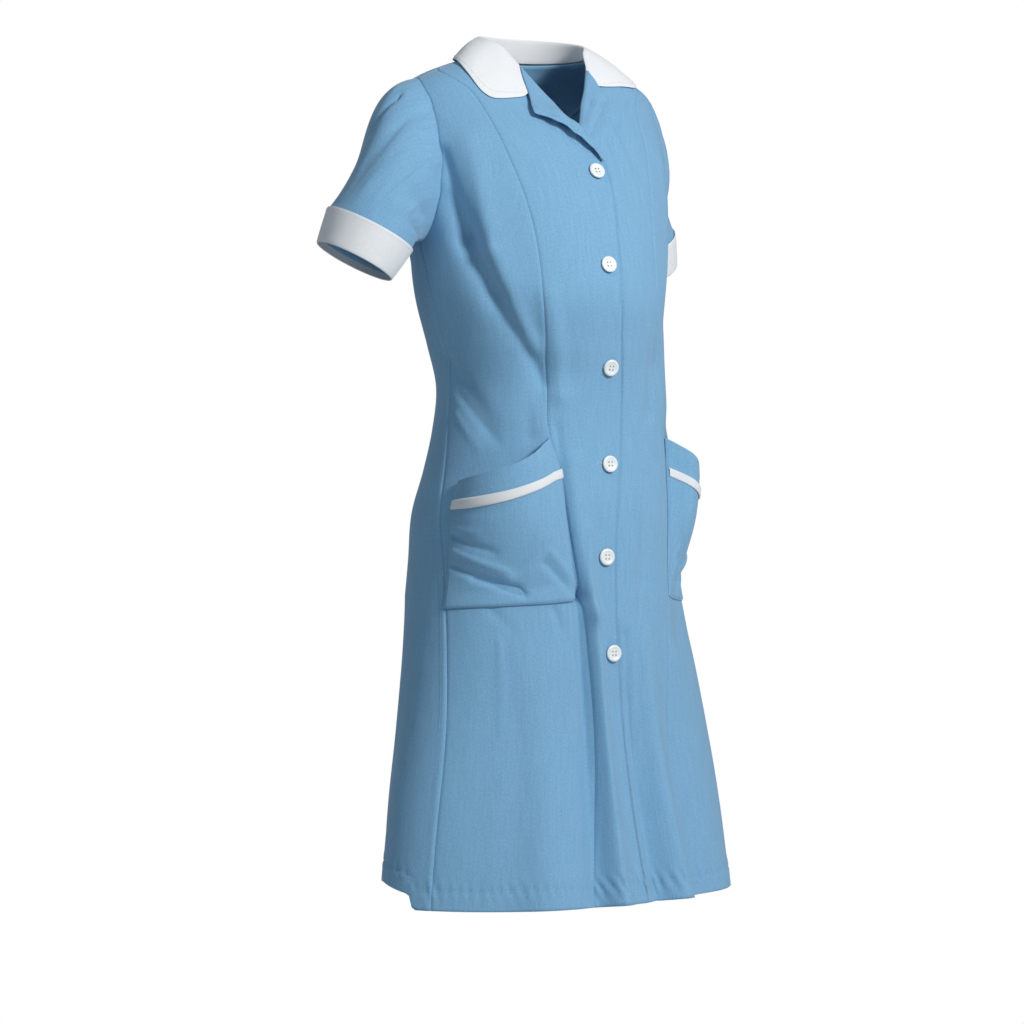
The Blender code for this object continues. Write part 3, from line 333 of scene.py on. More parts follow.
# The sleeves' ends: foot of the cuff, axis towards the shoulder and outward direction
SLEEVE_ENDS = {
    -1: ((-0.267, 0.020, -0.2475), (-0.405, 0.193, -0.900), (-0.720, 0.540, 0.440)),
    1: ((0.213, 0.083, -0.2300), (0.450, 0.250, -0.860), (0.850, -0.100, 0.450)),
}
SLEEVE_LEAVE = {-1: (0.48, 0.80, 0.30), 1: (0.25, 0.82, 0.25)}
SLEEVE_DIP = {-1: 0.003, 1: 0.008}
# Creases of the sleeves: turn from the outer side, run from armhole to cuff, width and depth
SLEEVE_CREASES = {
    -1: np.array([
        # start_turn, start_run, end_turn, end_run, start_width, end_width, start_depth, end_depth
        (0.40, 0.22, 0.16, 0.46, 0.035, 0.05, -0.0060, -0.0030),
        (0.20, 0.20, 0.00, 0.44, 0.050, 0.06, 0.0020, 0.0010),
        (0.95, 0.12, 0.60, 0.62, 0.080, 0.12, -0.0030, -0.0016),
        (1.60, 0.10, 1.00, 0.70, 0.080, 0.12, 0.0026, 0.0010),
        (2.30, 0.30, 1.30, 0.70, 0.080, 0.14, -0.0026, -0.0016),
        (2.70, 0.50, 1.70, 0.85, 0.080, 0.12, -0.0020, -0.0010),
        (-2.30, 0.30, -1.40, 0.60, 0.10, 0.20, -0.0030, -0.0020),
        (-2.80, 0.50, -1.80, 0.85, 0.10, 0.16, -0.0020, -0.0010),
    ]),
    1: np.array([
        # start_turn, start_run, end_turn, end_run, start_width, end_width, start_depth, end_depth
        (0.55, 0.18, 0.30, 0.46, 0.06, 0.08, -0.0030, -0.0010),
        (2.30, 0.30, 1.30, 0.60, 0.10, 0.16, -0.0030, -0.0016),
        (2.70, 0.50, 1.70, 0.85, 0.10, 0.14, -0.0020, -0.0010),
        (-2.30, 0.30, -1.40, 0.60, 0.10, 0.20, -0.0030, -0.0020),
        (-2.80, 0.50, -1.80, 0.85, 0.10, 0.16, -0.0020, -0.0010),
    ]),
}


class Side(Enum):
    """The two sides of the dress, as it is worn."""

    RIGHT = -1
    LEFT = 1

    @property
    def word(self) -> str:
        """The side's name in a piece's name."""
        return "left" if self is Side.LEFT else "right"


class Border(Enum):
    """What a panel's border is sewn as."""

    SEAM = "seam"
    FELLED = "felled"
    FOLDED = "folded"


def smooth_rows(table: Array, height: Array) -> Array:
    """Reads a table's columns at heights, with smooth slopes.

    Args:
        table: Rows whose first column is the height or share.
        height: Where to read them.

    Returns:
        The other columns at each height.
    """
    order = np.argsort(table[:, 0])
    knots = table[order, 0]
    values = table[order, 1:]
    height = np.clip(height, knots[0], knots[-1])
    step = np.diff(knots)[:, None]
    rise = np.diff(values, axis=0) / step
    slope = np.empty_like(values)
    slope[1:-1] = (step[1:] * rise[:-1] + step[:-1] * rise[1:]) / (step[:-1] + step[1:])
    slope[0] = rise[0]
    slope[-1] = rise[-1]
    row = np.clip(np.searchsorted(knots, height, side="right") - 1, 0, len(knots) - 2)
    span = step[row, 0][..., None]
    t = (height - knots[row])[..., None] / span
    return ((2 * t**3 - 3 * t**2 + 1) * values[row] + (t**3 - 2 * t**2 + t) * span * slope[row]
            + (3 * t**2 - 2 * t**3) * values[row + 1] + (t**3 - t**2) * span * slope[row + 1])


def seam_degrees(table: Array, height: Array) -> Array:
    """Reads a seam line's degrees at heights along a smooth curve."""
    return smooth_rows(table, np.asarray(height, float))[..., 0]


def straight_degrees(table: Array, height: Array) -> Array:
    """Reads a seam line's degrees at heights, straight between its rows."""
    order = np.argsort(table[:, 0])
    return np.interp(height, table[order, 0], table[order, 1])


def spread(*values: Array | float) -> list[Array]:
    """Numbers and arrays as float arrays of one shape."""
    return np.broadcast_arrays(*(np.asarray(value, float) for value in values))


def unit(vectors: Array) -> Array:
    """Scales vectors to length one."""
    return vectors / np.linalg.norm(vectors, axis=-1, keepdims=True)


def bump_lines(table: Array, across: Array, down: Array) -> Array:
    """Sums soft lines that run straight between two points of a flat field.

    Args:
        table: Rows of start, end, two widths and two depths.
        across: First coordinate of each point.
        down: Second coordinate of each point.

    Returns:
        The height that the lines give at each point.
    """
    total = np.zeros(np.broadcast(across, down).shape)
    for x0, y0, x1, y1, w0, w1, d0, d1 in table:
        run, drop = x1 - x0, y1 - y0
        t = np.clip(((across - x0) * run + (down - y0) * drop) / (run**2 + drop**2), 0, 1)
        distance = np.hypot(across - x0 - t * run, down - y0 - t * drop)
        total += (d0 + t * (d1 - d0)) * np.exp(-(distance / (w0 + t * (w1 - w0)))**2)
    return total


class Slub:
    """Uneven wrinkling of the cloth, from a seeded lattice that is read smoothly."""

    cells = 256

    def __init__(self, seed: int, cell: tuple[float, float]) -> None:
        """Fills the lattice.

        Args:
            seed: Seed of the random values.
            cell: Size of a lattice cell, across and along.
        """
        self.cell = cell
        self.values = np.random.default_rng(seed).uniform(-1, 1, (self.cells, self.cells))

    def at(self, across: Array, along: Array) -> Array:
        """Reads the field at points, from -1 to 1.

        Args:
            across: Places across.
            along: Places along.

        Returns:
            The values.
        """
        x, y = np.asarray(across) / self.cell[0] + 64, np.asarray(along) / self.cell[1] + 64
        column, row = np.floor(x).astype(int), np.floor(y).astype(int)
        fx, fy = (part * part * (3 - 2 * part) for part in (x - column, y - row))

        def line(down: int) -> Array:
            """Values between two corners of each cell."""
            start = self.values[(row + down) % self.cells, column % self.cells]
            end = self.values[(row + down) % self.cells, (column + 1) % self.cells]
            return start * (1 - fx) + end * fx

        return line(0) * (1 - fy) + line(1) * fy


@dataclass(frozen=True)
class WornForm:
    """The surface that the dress takes when worn, as a function of degrees round it and height."""

    turn_step: float = 0.4
    rise_step: float = 0.0015

    def plain(self, degrees: Array, height: Array) -> Array:
        """Points of the form without its folds.

        Args:
            degrees: Degrees round the dress from the centre front, towards its left.
            height: Heights.

        Returns:
            The points.
        """
        degrees, height = spread(degrees, height)
        half_width, front, back, sway, lean = np.moveaxis(smooth_rows(BODY, height), -1, 0)
        across, forward = np.sin(np.radians(degrees)), np.cos(np.radians(degrees))
        depth = np.where(forward > 0, front, back)
        radius = (np.abs(across / half_width)**SQUARENESS
                  + np.abs(forward / depth)**SQUARENESS)**(-1 / SQUARENESS)
        x = sway + radius * across
        fade = np.clip((height - TILT_END) / (NECK - TILT_END), 0, 1)
        return np.stack([x, lean - radius * forward, height + TILT * x * fade], -1)

    def fold_depth(self, degrees: Array, height: Array) -> Array:
        """How far folds and creases move the cloth out of the plain form.

        Args:
            degrees: Degrees round the dress from the centre front, towards its left.
            height: Heights.

        Returns:
            Distances, positive outwards.
        """
        total = np.zeros(np.broadcast(degrees, height).shape)
        mirrored = BACK_CREASES * (-1, 1, -1, 1, 1, 1, 1, 1)
        for row in np.concatenate([FOLDS, CREASES, BACK_CREASES, mirrored]):
            start_deg, start_height, end_deg, *rest = row
            across = np.radians((degrees - start_deg + 180) % 360 - 180) * GIRTH_RADIUS
            run = math.radians(end_deg - start_deg) * GIRTH_RADIUS
            total += bump_lines(np.array([(0.0, start_height, run, *rest)]), across, height)
        return total

    def normal(self, surface: Callable[[Array, Array], Array], degrees: Array,
               height: Array) -> Array:
        """Outward normals of one of the form's surfaces.

        Args:
            surface: The surface, as a function of degrees and height.
            degrees: Degrees round the dress from the centre front, towards its left.
            height: Heights.

        Returns:
            Vectors of length one.
        """
        turn, rise = self.turn_step, self.rise_step
        around = surface(degrees + turn, height) - surface(degrees - turn, height)
        upward = surface(degrees, height + rise) - surface(degrees, height - rise)
        return unit(np.cross(around, upward))

    def folded(self, degrees: Array, height: Array) -> Array:
        """Points of the form with its folds."""
        degrees, height = spread(degrees, height)
        depth = self.fold_depth(degrees, height)[..., None]
        return self.plain(degrees, height) + depth * self.normal(self.plain, degrees, height)

    def out(self, degrees: Array, height: Array) -> Array:
        """Outward normals of the form with its folds."""
        return self.normal(self.folded, degrees, height)

    def cloth(self, degrees: Array, height: Array, out: Array | float = 0.0) -> Array:
        """Points of the worn cloth, moved out of it by a distance."""
        degrees, height, out = spread(degrees, height, out)
        return self.folded(degrees, height) + out[..., None] * self.out(degrees, height)

    def over(self, x: Array, y: Array) -> Array:
        """Height of the shoulders and chest over points of the plan, found by halving.

        Args:
            x: Places across the dress.
            y: Places from front to back.

        Returns:
            The heights.
        """
        low, high = np.full(np.shape(x), ARMPIT), np.full(np.shape(x), NECK)
        for _ in range(40):
            middle = (low + high) / 2
            half_width, front, back, sway, lean = np.moveaxis(smooth_rows(BODY, middle), -1, 0)
            depth = np.where(y < lean, front, back)
            inside = (np.abs((x - sway) / half_width)**SQUARENESS
                      + np.abs((y - lean) / depth)**SQUARENESS) < 1
            low, high = np.where(inside, middle, low), np.where(inside, high, middle)
        return low + TILT * x * (low - TILT_END) / (NECK - TILT_END)


FORM = WornForm()


# ---------------------------------------------------------------------------------------------
# Finishes
# ---------------------------------------------------------------------------------------------


class Nodes:
    """A material's node tree with short calls for the nodes that the finishes use."""

    def __init__(self, name: str) -> None:
        """Starts a material with a principled shader."""
        self.material = bpy.data.materials.new(name)
        self.material.use_nodes = True
        self.tree = self.material.node_tree
        self.shader = self.tree.nodes["Principled BSDF"]

    def add(self, kind: str, inputs: dict[str, object] | None = None,
            **values: object) -> bpy.types.Node:
        """Adds a node and sets its inputs by name and its plain properties.

        Args:
            kind: The node's type.
            inputs: Values of its inputs, by name or number.
            values: Its plain properties.

        Returns:
            The node.
        """
        node = self.tree.nodes.new(kind)
        for key, value in values.items():
            setattr(node, key, value)
        for key, value in (inputs or {}).items():
            node.inputs[key].default_value = value
        return node

    def link(self, source: Socket, target: Socket) -> None:
        """Joins two sockets."""
        self.tree.links.new(source, target)

    def cloth(self) -> Socket:
        """The piece's own UV map, in metres of cloth."""
        return self.add("ShaderNodeUVMap", uv_map=UV_NAME).outputs["UV"]

    def place(self) -> Socket:
        """The piece's object coordinates."""
        return self.add("ShaderNodeTexCoord").outputs["Object"]

    def combine(self, operation: str, *parts: Socket | float) -> Socket:
        """Adds a Math node whose inputs are sockets or numbers and returns its result.

        Args:
            operation: What the node works out.
            parts: Sockets or numbers.

        Returns:
            The result's socket.
        """
        node = self.add("ShaderNodeMath", operation=operation)
        for socket, part in zip(node.inputs, parts):
            if isinstance(part, (int, float)):
                socket.default_value = part
            else:
                self.link(part, socket)
        return node.outputs[0]

    def noise(self, vector: Socket, scale: tuple[float, float, float], detail: float = 3.0,
              rough: float = 0.5) -> Socket:
        """Noise on a stretched vector.

        Args:
            vector: Where it is read.
            scale: Cells in a metre along each axis.
            detail: Octaves.
            rough: Strength of the finer octaves.

        Returns:
            The noise value's socket.
        """
        mapping = self.add("ShaderNodeMapping", {"Scale": scale})
        self.link(vector, mapping.inputs["Vector"])
        noise = self.add("ShaderNodeTexNoise", {"Scale": 1.0, "Detail": detail, "Roughness": rough})
        self.link(mapping.outputs["Vector"], noise.inputs["Vector"])
        return noise.outputs["Fac"]

    def bands(self, vector: Socket, direction: str, pitch: float) -> Socket:
        """Threads or ribs as a sine wave along a vector, with the pitch in metres.

        Args:
            vector: Where it is read.
            direction: The axis that it runs along.
            pitch: Metres from one thread to the next.

        Returns:
            The wave's socket.
        """
        wave = self.add("ShaderNodeTexWave", {"Scale": math.tau / (20.0 * pitch)},
                        wave_type="BANDS", bands_direction=direction)
        self.link(vector, wave.inputs["Vector"])
        return wave.outputs["Fac"]

    def span(self, value: Socket, **limits: float) -> Socket:
        """Maps a value from one range to another, 0 to 1 where a limit isn't given."""
        inputs = {key.replace("_", " ").title(): limit for key, limit in limits.items()}
        node = self.add("ShaderNodeMapRange", inputs)
        self.link(value, node.inputs["Value"])
        return node.outputs["Result"]

    def bump(self, height: Socket, distance: float, strength: float,
             onto: Socket | None = None) -> Socket:
        """Adds a Bump node and returns its normal.

        Args:
            height: The height that it reads.
            distance: Depth of the relief in metres.
            strength: Share of it that shows.
            onto: A normal that it is laid on.

        Returns:
            The normal's socket.
        """
        node = self.add("ShaderNodeBump", {"Distance": distance, "Strength": strength})
        self.link(height, node.inputs["Height"])
        if onto is not None:
            self.link(onto, node.inputs["Normal"])
        return node.outputs["Normal"]

    def mix(self, share: Socket, low: Colour, high: Colour) -> Socket:
        """Mixes two colours by a share and returns the colour."""
        node = self.add("ShaderNodeMix", {6: (*low, 1.0), 7: (*high, 1.0)}, data_type="RGBA")
        self.link(share, node.inputs["Factor"])
        return node.outputs[2]

    def finish(self, colour: Socket, normal: Socket,
               inputs: dict[str, float]) -> bpy.types.Material:
        """Wires colour and normal to the shader, sets its other inputs and ends the material.

        Args:
            colour: Socket of the colour.
            normal: Socket of the normal.
            inputs: The shader's other values, by name.

        Returns:
            The material.
        """
        self.link(colour, self.shader.inputs["Base Color"])
        self.link(normal, self.shader.inputs["Normal"])
        for key, value in inputs.items():
            self.shader.inputs[key].default_value = value
        return self.material


@dataclass(frozen=True)
class ClothFinish:
    """A plain-woven cloth with uneven yarns and a soft sheen."""

    name: str
    light: Colour
    dark: Colour
    roughness: float = 0.85
    sheen: float = 0.25
    yarn: float = 0.00055
    weave_depth: float = 0.00010
    slub_depth: float = 0.00016
    crumple_depth: float = 0.0009

    def make(self) -> bpy.types.Material:
        """Builds the material on the piece's own UV map.

        Returns:
            The material.
        """
        nodes = Nodes(self.name)
        uv = nodes.cloth()
        weave = nodes.combine("MAXIMUM", *(nodes.bands(uv, axis, self.yarn) for axis in "XY"))
        slub = nodes.noise(uv, (420.0, 26.0, 1.0), 3.0, 0.55)
        cross = nodes.noise(uv, (24.0, 300.0, 1.0), 2.0, 0.5)
        grain = nodes.noise(uv, (560.0, 400.0, 1.0), 3.0, 0.7)
        crumple = nodes.noise(uv, (34.0, 12.0, 1.0), 4.0, 0.55)
        tone = nodes.combine("MULTIPLY", slub, 0.26)
        for yarns, weight in ((cross, 0.04), (grain, 0.70)):
            tone = nodes.combine("ADD", tone, nodes.combine("MULTIPLY", yarns, weight))
        tone = nodes.span(tone, from_min=0.34, from_max=0.66)
        normal = nodes.bump(crumple, self.crumple_depth, 0.55)
        normal = nodes.bump(slub, self.slub_depth, 0.45, normal)
        normal = nodes.bump(weave, self.weave_depth, 0.6, normal)
        return nodes.finish(nodes.mix(tone, self.dark, self.light), normal, {
            "Roughness": self.roughness, "Specular IOR Level": 0.25,
            "Sheen Weight": self.sheen, "Sheen Roughness": 0.5})


@dataclass(frozen=True)
class BraidFinish:
    """A flat white braid with a slanted rib."""

    name: str = "white_braid"
    light: Colour = (0.88, 0.88, 0.88)
    dark: Colour = (0.74, 0.74, 0.75)
    rib: float = 0.0016

    def make(self) -> bpy.types.Material:
        """Builds the material on the braid's own UV map.

        Returns:
            The material.
        """
        nodes = Nodes(self.name)
        ribs = nodes.bands(nodes.cloth(), "DIAGONAL", self.rib)
        return nodes.finish(nodes.mix(ribs, self.dark, self.light), nodes.bump(ribs, 0.0004, 0.6),
                            {"Roughness": 0.75, "Sheen Weight": 0.15})


@dataclass(frozen=True)
class PlasticFinish:
    """White button plastic with a faint cloud and fine scuffs."""

    name: str = "white_button_plastic"
    light: Colour = (0.90, 0.91, 0.90)
    dark: Colour = (0.78, 0.79, 0.78)

    def make(self) -> bpy.types.Material:
        """Builds the material on object coordinates.

        Returns:
            The material.
        """
        nodes = Nodes(self.name)
        place = nodes.place()
        cloud = nodes.noise(place, (160.0, 160.0, 160.0), 3.0)
        scuff = nodes.noise(place, (1400.0, 1400.0, 1400.0), 2.0)
        nodes.link(nodes.span(scuff, to_min=0.24, to_max=0.42), nodes.shader.inputs["Roughness"])
        return nodes.finish(nodes.mix(cloud, self.dark, self.light),
                            nodes.bump(scuff, 0.00004, 0.3),
                            {"Coat Weight": 0.2, "Coat Roughness": 0.2})


@dataclass(frozen=True)
class ThreadFinish:
    """Twisted sewing thread."""

    name: str
    colour: Colour
    shade: float = 0.82

    def make(self) -> bpy.types.Material:
        """Builds the material on object coordinates.

        Returns:
            The material.
        """
        nodes = Nodes(self.name)
        twist = nodes.noise(nodes.place(), (2600.0, 2600.0, 2600.0), 1.0)
        dark = tuple(part * self.shade for part in self.colour)
        return nodes.finish(nodes.mix(twist, dark, self.colour), nodes.bump(twist, 0.0001, 0.5),
                            {"Roughness": 0.65, "Sheen Weight": 0.2})


@dataclass
class Wardrobe:
    """The finishes of the dress."""

    blue: bpy.types.Material = field(init=False)
    white: bpy.types.Material = field(init=False)
    braid: bpy.types.Material = field(init=False)
    plastic: bpy.types.Material = field(init=False)
    blue_thread: bpy.types.Material = field(init=False)
    edge_thread: bpy.types.Material = field(init=False)
    # Near-black stitches for the buttonholes' slits: painted shade in the cut
    slit_shade: bpy.types.Material = field(init=False)
    white_thread: bpy.types.Material = field(init=False)

    def __post_init__(self) -> None:
        """Makes each material once."""
        self.blue = ClothFinish("blue_chambray", (0.240, 0.475, 0.685),
                                (0.160, 0.345, 0.540)).make()
        self.white = ClothFinish("white_cotton", (0.90, 0.90, 0.90), (0.82, 0.82, 0.83),
                                 slub_depth=0.0002, crumple_depth=0.0008).make()
        self.braid = BraidFinish().make()
        self.plastic = PlasticFinish().make()
        self.blue_thread = ThreadFinish("blue_thread", (0.36, 0.60, 0.78)).make()
        self.edge_thread = ThreadFinish("buttonhole_thread", (0.56, 0.74, 0.86)).make()
        # The slit's near-black colour is painted shade inside the buttonhole's cut, not a thread colour
        self.slit_shade = ThreadFinish("buttonhole_slit", (0.05, 0.11, 0.18)).make()
        self.white_thread = ThreadFinish("white_thread", (0.88, 0.88, 0.86)).make()


# ---------------------------------------------------------------------------------------------
# Sheets and stitches
# ---------------------------------------------------------------------------------------------


def to_mesh(name: str, shape: bmesh.types.BMesh) -> bpy.types.Mesh:
    """Turns a bmesh into a mesh, and frees it.

    Args:
        name: The mesh's name.
        shape: The bmesh, in place.

    Returns:
        The new mesh.
    """
    mesh = bpy.data.meshes.new(name)
    shape.to_mesh(mesh)
    shape.free()
    return mesh


def add_object(name: str, data: bpy.types.ID) -> bpy.types.Object:
    """Makes an object and puts it in the scene."""
    item = bpy.data.objects.new(name, data)
    bpy.context.scene.collection.objects.link(item)
    return item


def finish_object(name: str, shape: bmesh.types.BMesh, material: bpy.types.Material) -> bpy.types.Object:
    """Turns a bmesh into a piece that rides on the dress.

    Args:
        name: The piece's name.
        shape: Its mesh, in place.
        material: Its finish.

    Returns:
        The new object.
    """
    mesh = to_mesh(name, shape)
    mesh.materials.append(material)
    mesh.shade_smooth()
    piece = add_object(name, mesh)
    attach(piece, BODY_NAME)
    log.info("%s: %d faces", name, len(mesh.polygons))
    return piece


def run_along(points: Array, axis: int) -> Array:
    """Metres along one axis of a grid of points, up to each point."""
    steps = np.linalg.norm(np.diff(points, axis=axis), axis=-1)
    start = np.zeros_like(np.take(steps, [0], axis=axis))
    return np.concatenate([start, np.cumsum(steps, axis=axis)], axis=axis)


def facing(points: Array, row: int, column: int, away: Array) -> float:
    """Which way a grid's own order of rows and columns looks.

    Args:
        points: The grid's points.
        row: Row at which it is read.
        column: Column at which it is read.
        away: A direction that leads away from the grid there.

    Returns:
        1 where the grid looks along that direction, and -1 where it looks against it.
    """
    around = points[row, column + 1] - points[row, column - 1]
    down = points[row + 1, column] - points[row - 1, column]
    return 1.0 if np.dot(np.cross(down, around), away) > 0 else -1.0


def body_facing(points: Array, row: int) -> float:
    """Which way a grid looks whose outer face leads away from the body's middle."""
    column = points.shape[1] // 2
    return facing(points, row, column, points[row, column] * (1, 1, 0))


def ring_facing(points: Array) -> float:
    """Which way a grid of rings looks whose outer face leads away from the rings' middle."""
    row, column = len(points) // 2, points.shape[1] // 2
    return facing(points, row, column, points[row, column] - points[row].mean(axis=0))


@dataclass
class ClothSheet:
    """A sheet of cloth through rows and columns of points.

    Its outward value is 1 where the grid's own order of rows and columns looks outward.
    """

    name: str
    points: Array
    material: bpy.types.Material
    slot: str
    outward: float
    wall: float = WALL
    ring: bool = False
    smoothing: int = 0
    least_share: float = 0.3

    def build(self) -> bpy.types.Object:
        """Lays a grid through the points, gives it its wall and its UV map in metres.

        Returns:
            The piece.
        """
        rows, columns = self.points.shape[:2]
        across, down = run_along(self.points, 1), run_along(self.points, 0)
        across = across - across[:, -1:] / 2
        down = np.broadcast_to(down.mean(axis=1, keepdims=True), down.shape)
        shape = bmesh.new()
        bmesh.ops.create_grid(shape, x_segments=columns - 1, y_segments=rows - 1, size=0.5)
        layer = shape.loops.layers.uv.new(UV_NAME)
        shape.verts.ensure_lookup_table()
        flat, u, v = self.points.reshape(-1, 3), across.ravel(), down.ravel()
        for index, vert in enumerate(shape.verts):
            vert.co = flat[index]
        for face in shape.faces:
            for loop in face.loops:
                loop[layer].uv = (u[loop.vert.index], v[loop.vert.index])
        if self.ring:
            bmesh.ops.remove_doubles(shape, verts=shape.verts, dist=1e-6)
        shape.normal_update()
        shape.faces.ensure_lookup_table()
        middle = np.array(shape.faces[len(shape.faces) // 2].normal)
        if facing(self.points, rows // 2, columns // 2, middle) != self.outward:
            bmesh.ops.reverse_faces(shape, faces=shape.faces[:])
        piece = finish_object(self.name, shape, self.material)
        wall = piece.modifiers.new("wall", "SOLIDIFY")
        wall.thickness = self.wall
        wall.offset = 0.0
        if self.smoothing:
            soft = piece.modifiers.new("soft", "SUBSURF")
            soft.levels = self.smoothing
            soft.render_levels = self.smoothing
        return piece

    def declare(self, nodes: list[str]) -> None:
        """Builds the piece, hides the nodes that it replaces and logs how the cloth was cut.

        Args:
            nodes: CAD nodes that it replaces.
        """
        piece = self.build()
        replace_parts(piece, *nodes)
        across, down = run_along(self.points, 1), run_along(self.points, 0)
        width, length = float(across[:, -1].max()), float(down[-1].max())
        wide, high = np.diff(across, axis=1), np.diff(down, axis=0)
        area = float(np.sum((wide[1:] + wide[:-1]) / 2 * (high[:, 1:] + high[:, :-1]) / 2))
        area = max(min(area, width * length), self.least_share * width * length)
        log.info("%s: cut %.3f by %.3f m, %.4f m2", self.name, width, length, area)


@dataclass
class StitchRun:
    """A row of stitches along a path on the cloth."""

    name: str
    material: bpy.types.Material
    slot: str
    length: float = 0.0023
    pitch: float = 0.0032
    thickness: float = 0.00042
    handful: int = 40
    paths: list = field(default_factory=list)

    def add(self, points: Array, normals: Array) -> None:
        """Adds a path with its outward normals."""
        self.paths.append((np.asarray(points, float), np.asarray(normals, float)))

    def build(self) -> None:
        """Lays one small thread after another along the paths, a handful at a time."""
        shape = bmesh.new()
        found = [place for path in self.paths for place in self.places(*path)]
        for start in range(0, len(found), self.handful):
            part = bmesh.new()
            for place, along, out in found[start:start + self.handful]:
                self.thread(part, place, along, out, self.length)
            mesh = to_mesh("handful", part)
            shape.from_mesh(mesh)
            bpy.data.meshes.remove(mesh)
        finish_object(self.name, shape, self.material)

    def places(self, points: Array, normals: Array) -> list[tuple[Array, Array, Array]]:
        """Spreads stitches evenly along a path.

        Args:
            points: The path.
            normals: Outward normals along it.

        Returns:
            Each stitch's place, direction and normal.
        """
        run = run_along(points, 0)
        count = max(int(run[-1] / self.pitch), 1)
        found = []
        for at in (np.arange(count) + 0.5) * run[-1] / count:
            index = max(min(int(np.searchsorted(run, at)), len(points) - 1), 1)
            t = (at - run[index - 1]) / max(run[index] - run[index - 1], 1e-9)
            place = points[index - 1] * (1 - t) + points[index] * t
            out = normals[index - 1] * (1 - t) + normals[index] * t
            found.append((place, points[index] - points[index - 1], out))
        return found

    def thread(self, shape: bmesh.types.BMesh, place: Array, along: Array, out: Array,
               length: float) -> None:
        """Adds one thread as a small stretched ball.

        Args:
            shape: The bmesh that it goes into.
            place: Its middle.
            along: Its direction.
            out: The side that looks outward.
            length: Its length.
        """
        x, z = Vector(along).normalized(), Vector(out).normalized()
        y = z.cross(x).normalized()
        turn = Matrix((x, y, x.cross(y))).transposed().to_4x4()
        size = Matrix.Diagonal((length / 2, self.thickness / 2, self.thickness / 2, 1.0))
        matrix = Matrix.Translation(Vector(place)) @ turn @ size
        bmesh.ops.create_uvsphere(shape, u_segments=6, v_segments=3, radius=1.0, matrix=matrix)


# ---------------------------------------------------------------------------------------------
# Body panels
# ---------------------------------------------------------------------------------------------


def row_heights(top: float) -> Array:
    """Heights of a seam's rows from its top to the hem, close together all the way."""
    return np.concatenate([
        np.linspace(top, CROSSING, 33)[:-1], np.linspace(CROSSING, ROLL_END, 13)[:-1],
        np.linspace(ROLL_END, ARMPIT, 29)[:-1], np.linspace(ARMPIT, HEM, 251),
    ])


def seam_rows(table: Array, top: float, side: Side) -> Array:
    """A seam as rows of degrees and height."""
    height = row_heights(top)
    return np.stack([side.value * seam_degrees(table, height), height], -1)


def armhole(angle: Array) -> Array:
    """Runs round the armhole.

    Args:
        angle: Angles that start at the shoulder tip and grow down the front edge.

    Returns:
        Degrees and height of each point.
    """
    half_height = (SHOULDER_TIP - ARMPIT) / 2
    height = (SHOULDER_TIP + ARMPIT) / 2 + half_height * np.cos(angle)
    middle = 90.0 + ARMHOLE_TURN * (SHOULDER_TIP - height) / (SHOULDER_TIP - ARMPIT)
    return np.stack([middle - ARMHOLE_WIDTH * np.sin(angle), height], -1)


def side_rows(side: Side, facing: int) -> Array:
    """The outer boundary of a side panel: round the armhole, then down the side seam.

    Args:
        side: The dress's own side.
        facing: 1 for the panel before the armhole, and -1 for the one behind it.

    Returns:
        Rows of degrees and height.
    """
    oval = armhole(facing * np.linspace(0, math.pi, UPPER_ROWS + 1))
    height = row_heights(SHOULDER_TIP)[UPPER_ROWS + 1:]
    line = np.concatenate([oval, np.stack([seam_degrees(SIDE, height), height], -1)])
    return line * (side.value, 1)


@dataclass
class PanelGrid:
    """A panel's rows and columns between two seam lines, closer together near the seams."""

    first: Array
    last: Array
    columns: int
    edge_steps: tuple[float, ...] = (0.0, 0.0008, 0.0018, 0.0032, 0.0050, 0.0072)

    def shares(self) -> Array:
        """Share across the panel of each column, in each row.

        Returns:
            A row of shares for each of its rows.
        """
        start, end = (FORM.plain(line[:, 0], line[:, 1]) for line in (self.first, self.last))
        width = np.maximum(np.linalg.norm(end - start, axis=-1), 1e-4)[:, None]
        inner = len(self.edge_steps)
        even = np.linspace(0, 1, self.columns + 1)
        near = np.minimum(np.array(self.edge_steps)[None] / width, even[None, :inner])
        start = near[:, -1:]
        middle = np.linspace(0, 1, self.columns + 3 - 2 * inner)[None, 1:-1]
        middle = start + (1 - 2 * start) * middle
        return np.concatenate([near, middle, 1 - near[:, ::-1]], axis=1)

    def grid(self) -> Array:
        """Degrees and height of each point."""
        share = self.shares()[..., None]
        return self.first[:, None] * (1 - share) + self.last[:, None] * share


def hem_height(degrees: Array) -> Array:
    """Height of the hem all round: the back's is drawn up above the front's."""
    turn = np.abs((degrees + 180) % 360 - 180)
    return HEM + np.interp(turn, HEM_RISE[:, 0], HEM_RISE[:, 1])


def raised_hem(grid: Array) -> Array:
    """Lifts a panel's lowest rows to the hem of the back."""
    fall = np.clip((HEM_RISE_TOP - grid[..., 1]) / (HEM_RISE_TOP - HEM), 0, 1)
    rise = hem_height(grid[..., 0]) - HEM
    return grid + np.stack([np.zeros_like(rise), rise * fall**2], -1)


def lift_top(grid: Array, top: Array) -> Array:
    """Lifts a panel's rows so that the first follows its top edge, fading down to the crossing."""
    fade = np.clip(1 - np.arange(len(grid)) / NECK_ROWS, 0, 1)**2
    return grid + fade[:, None, None] * (top - grid[0])[None]


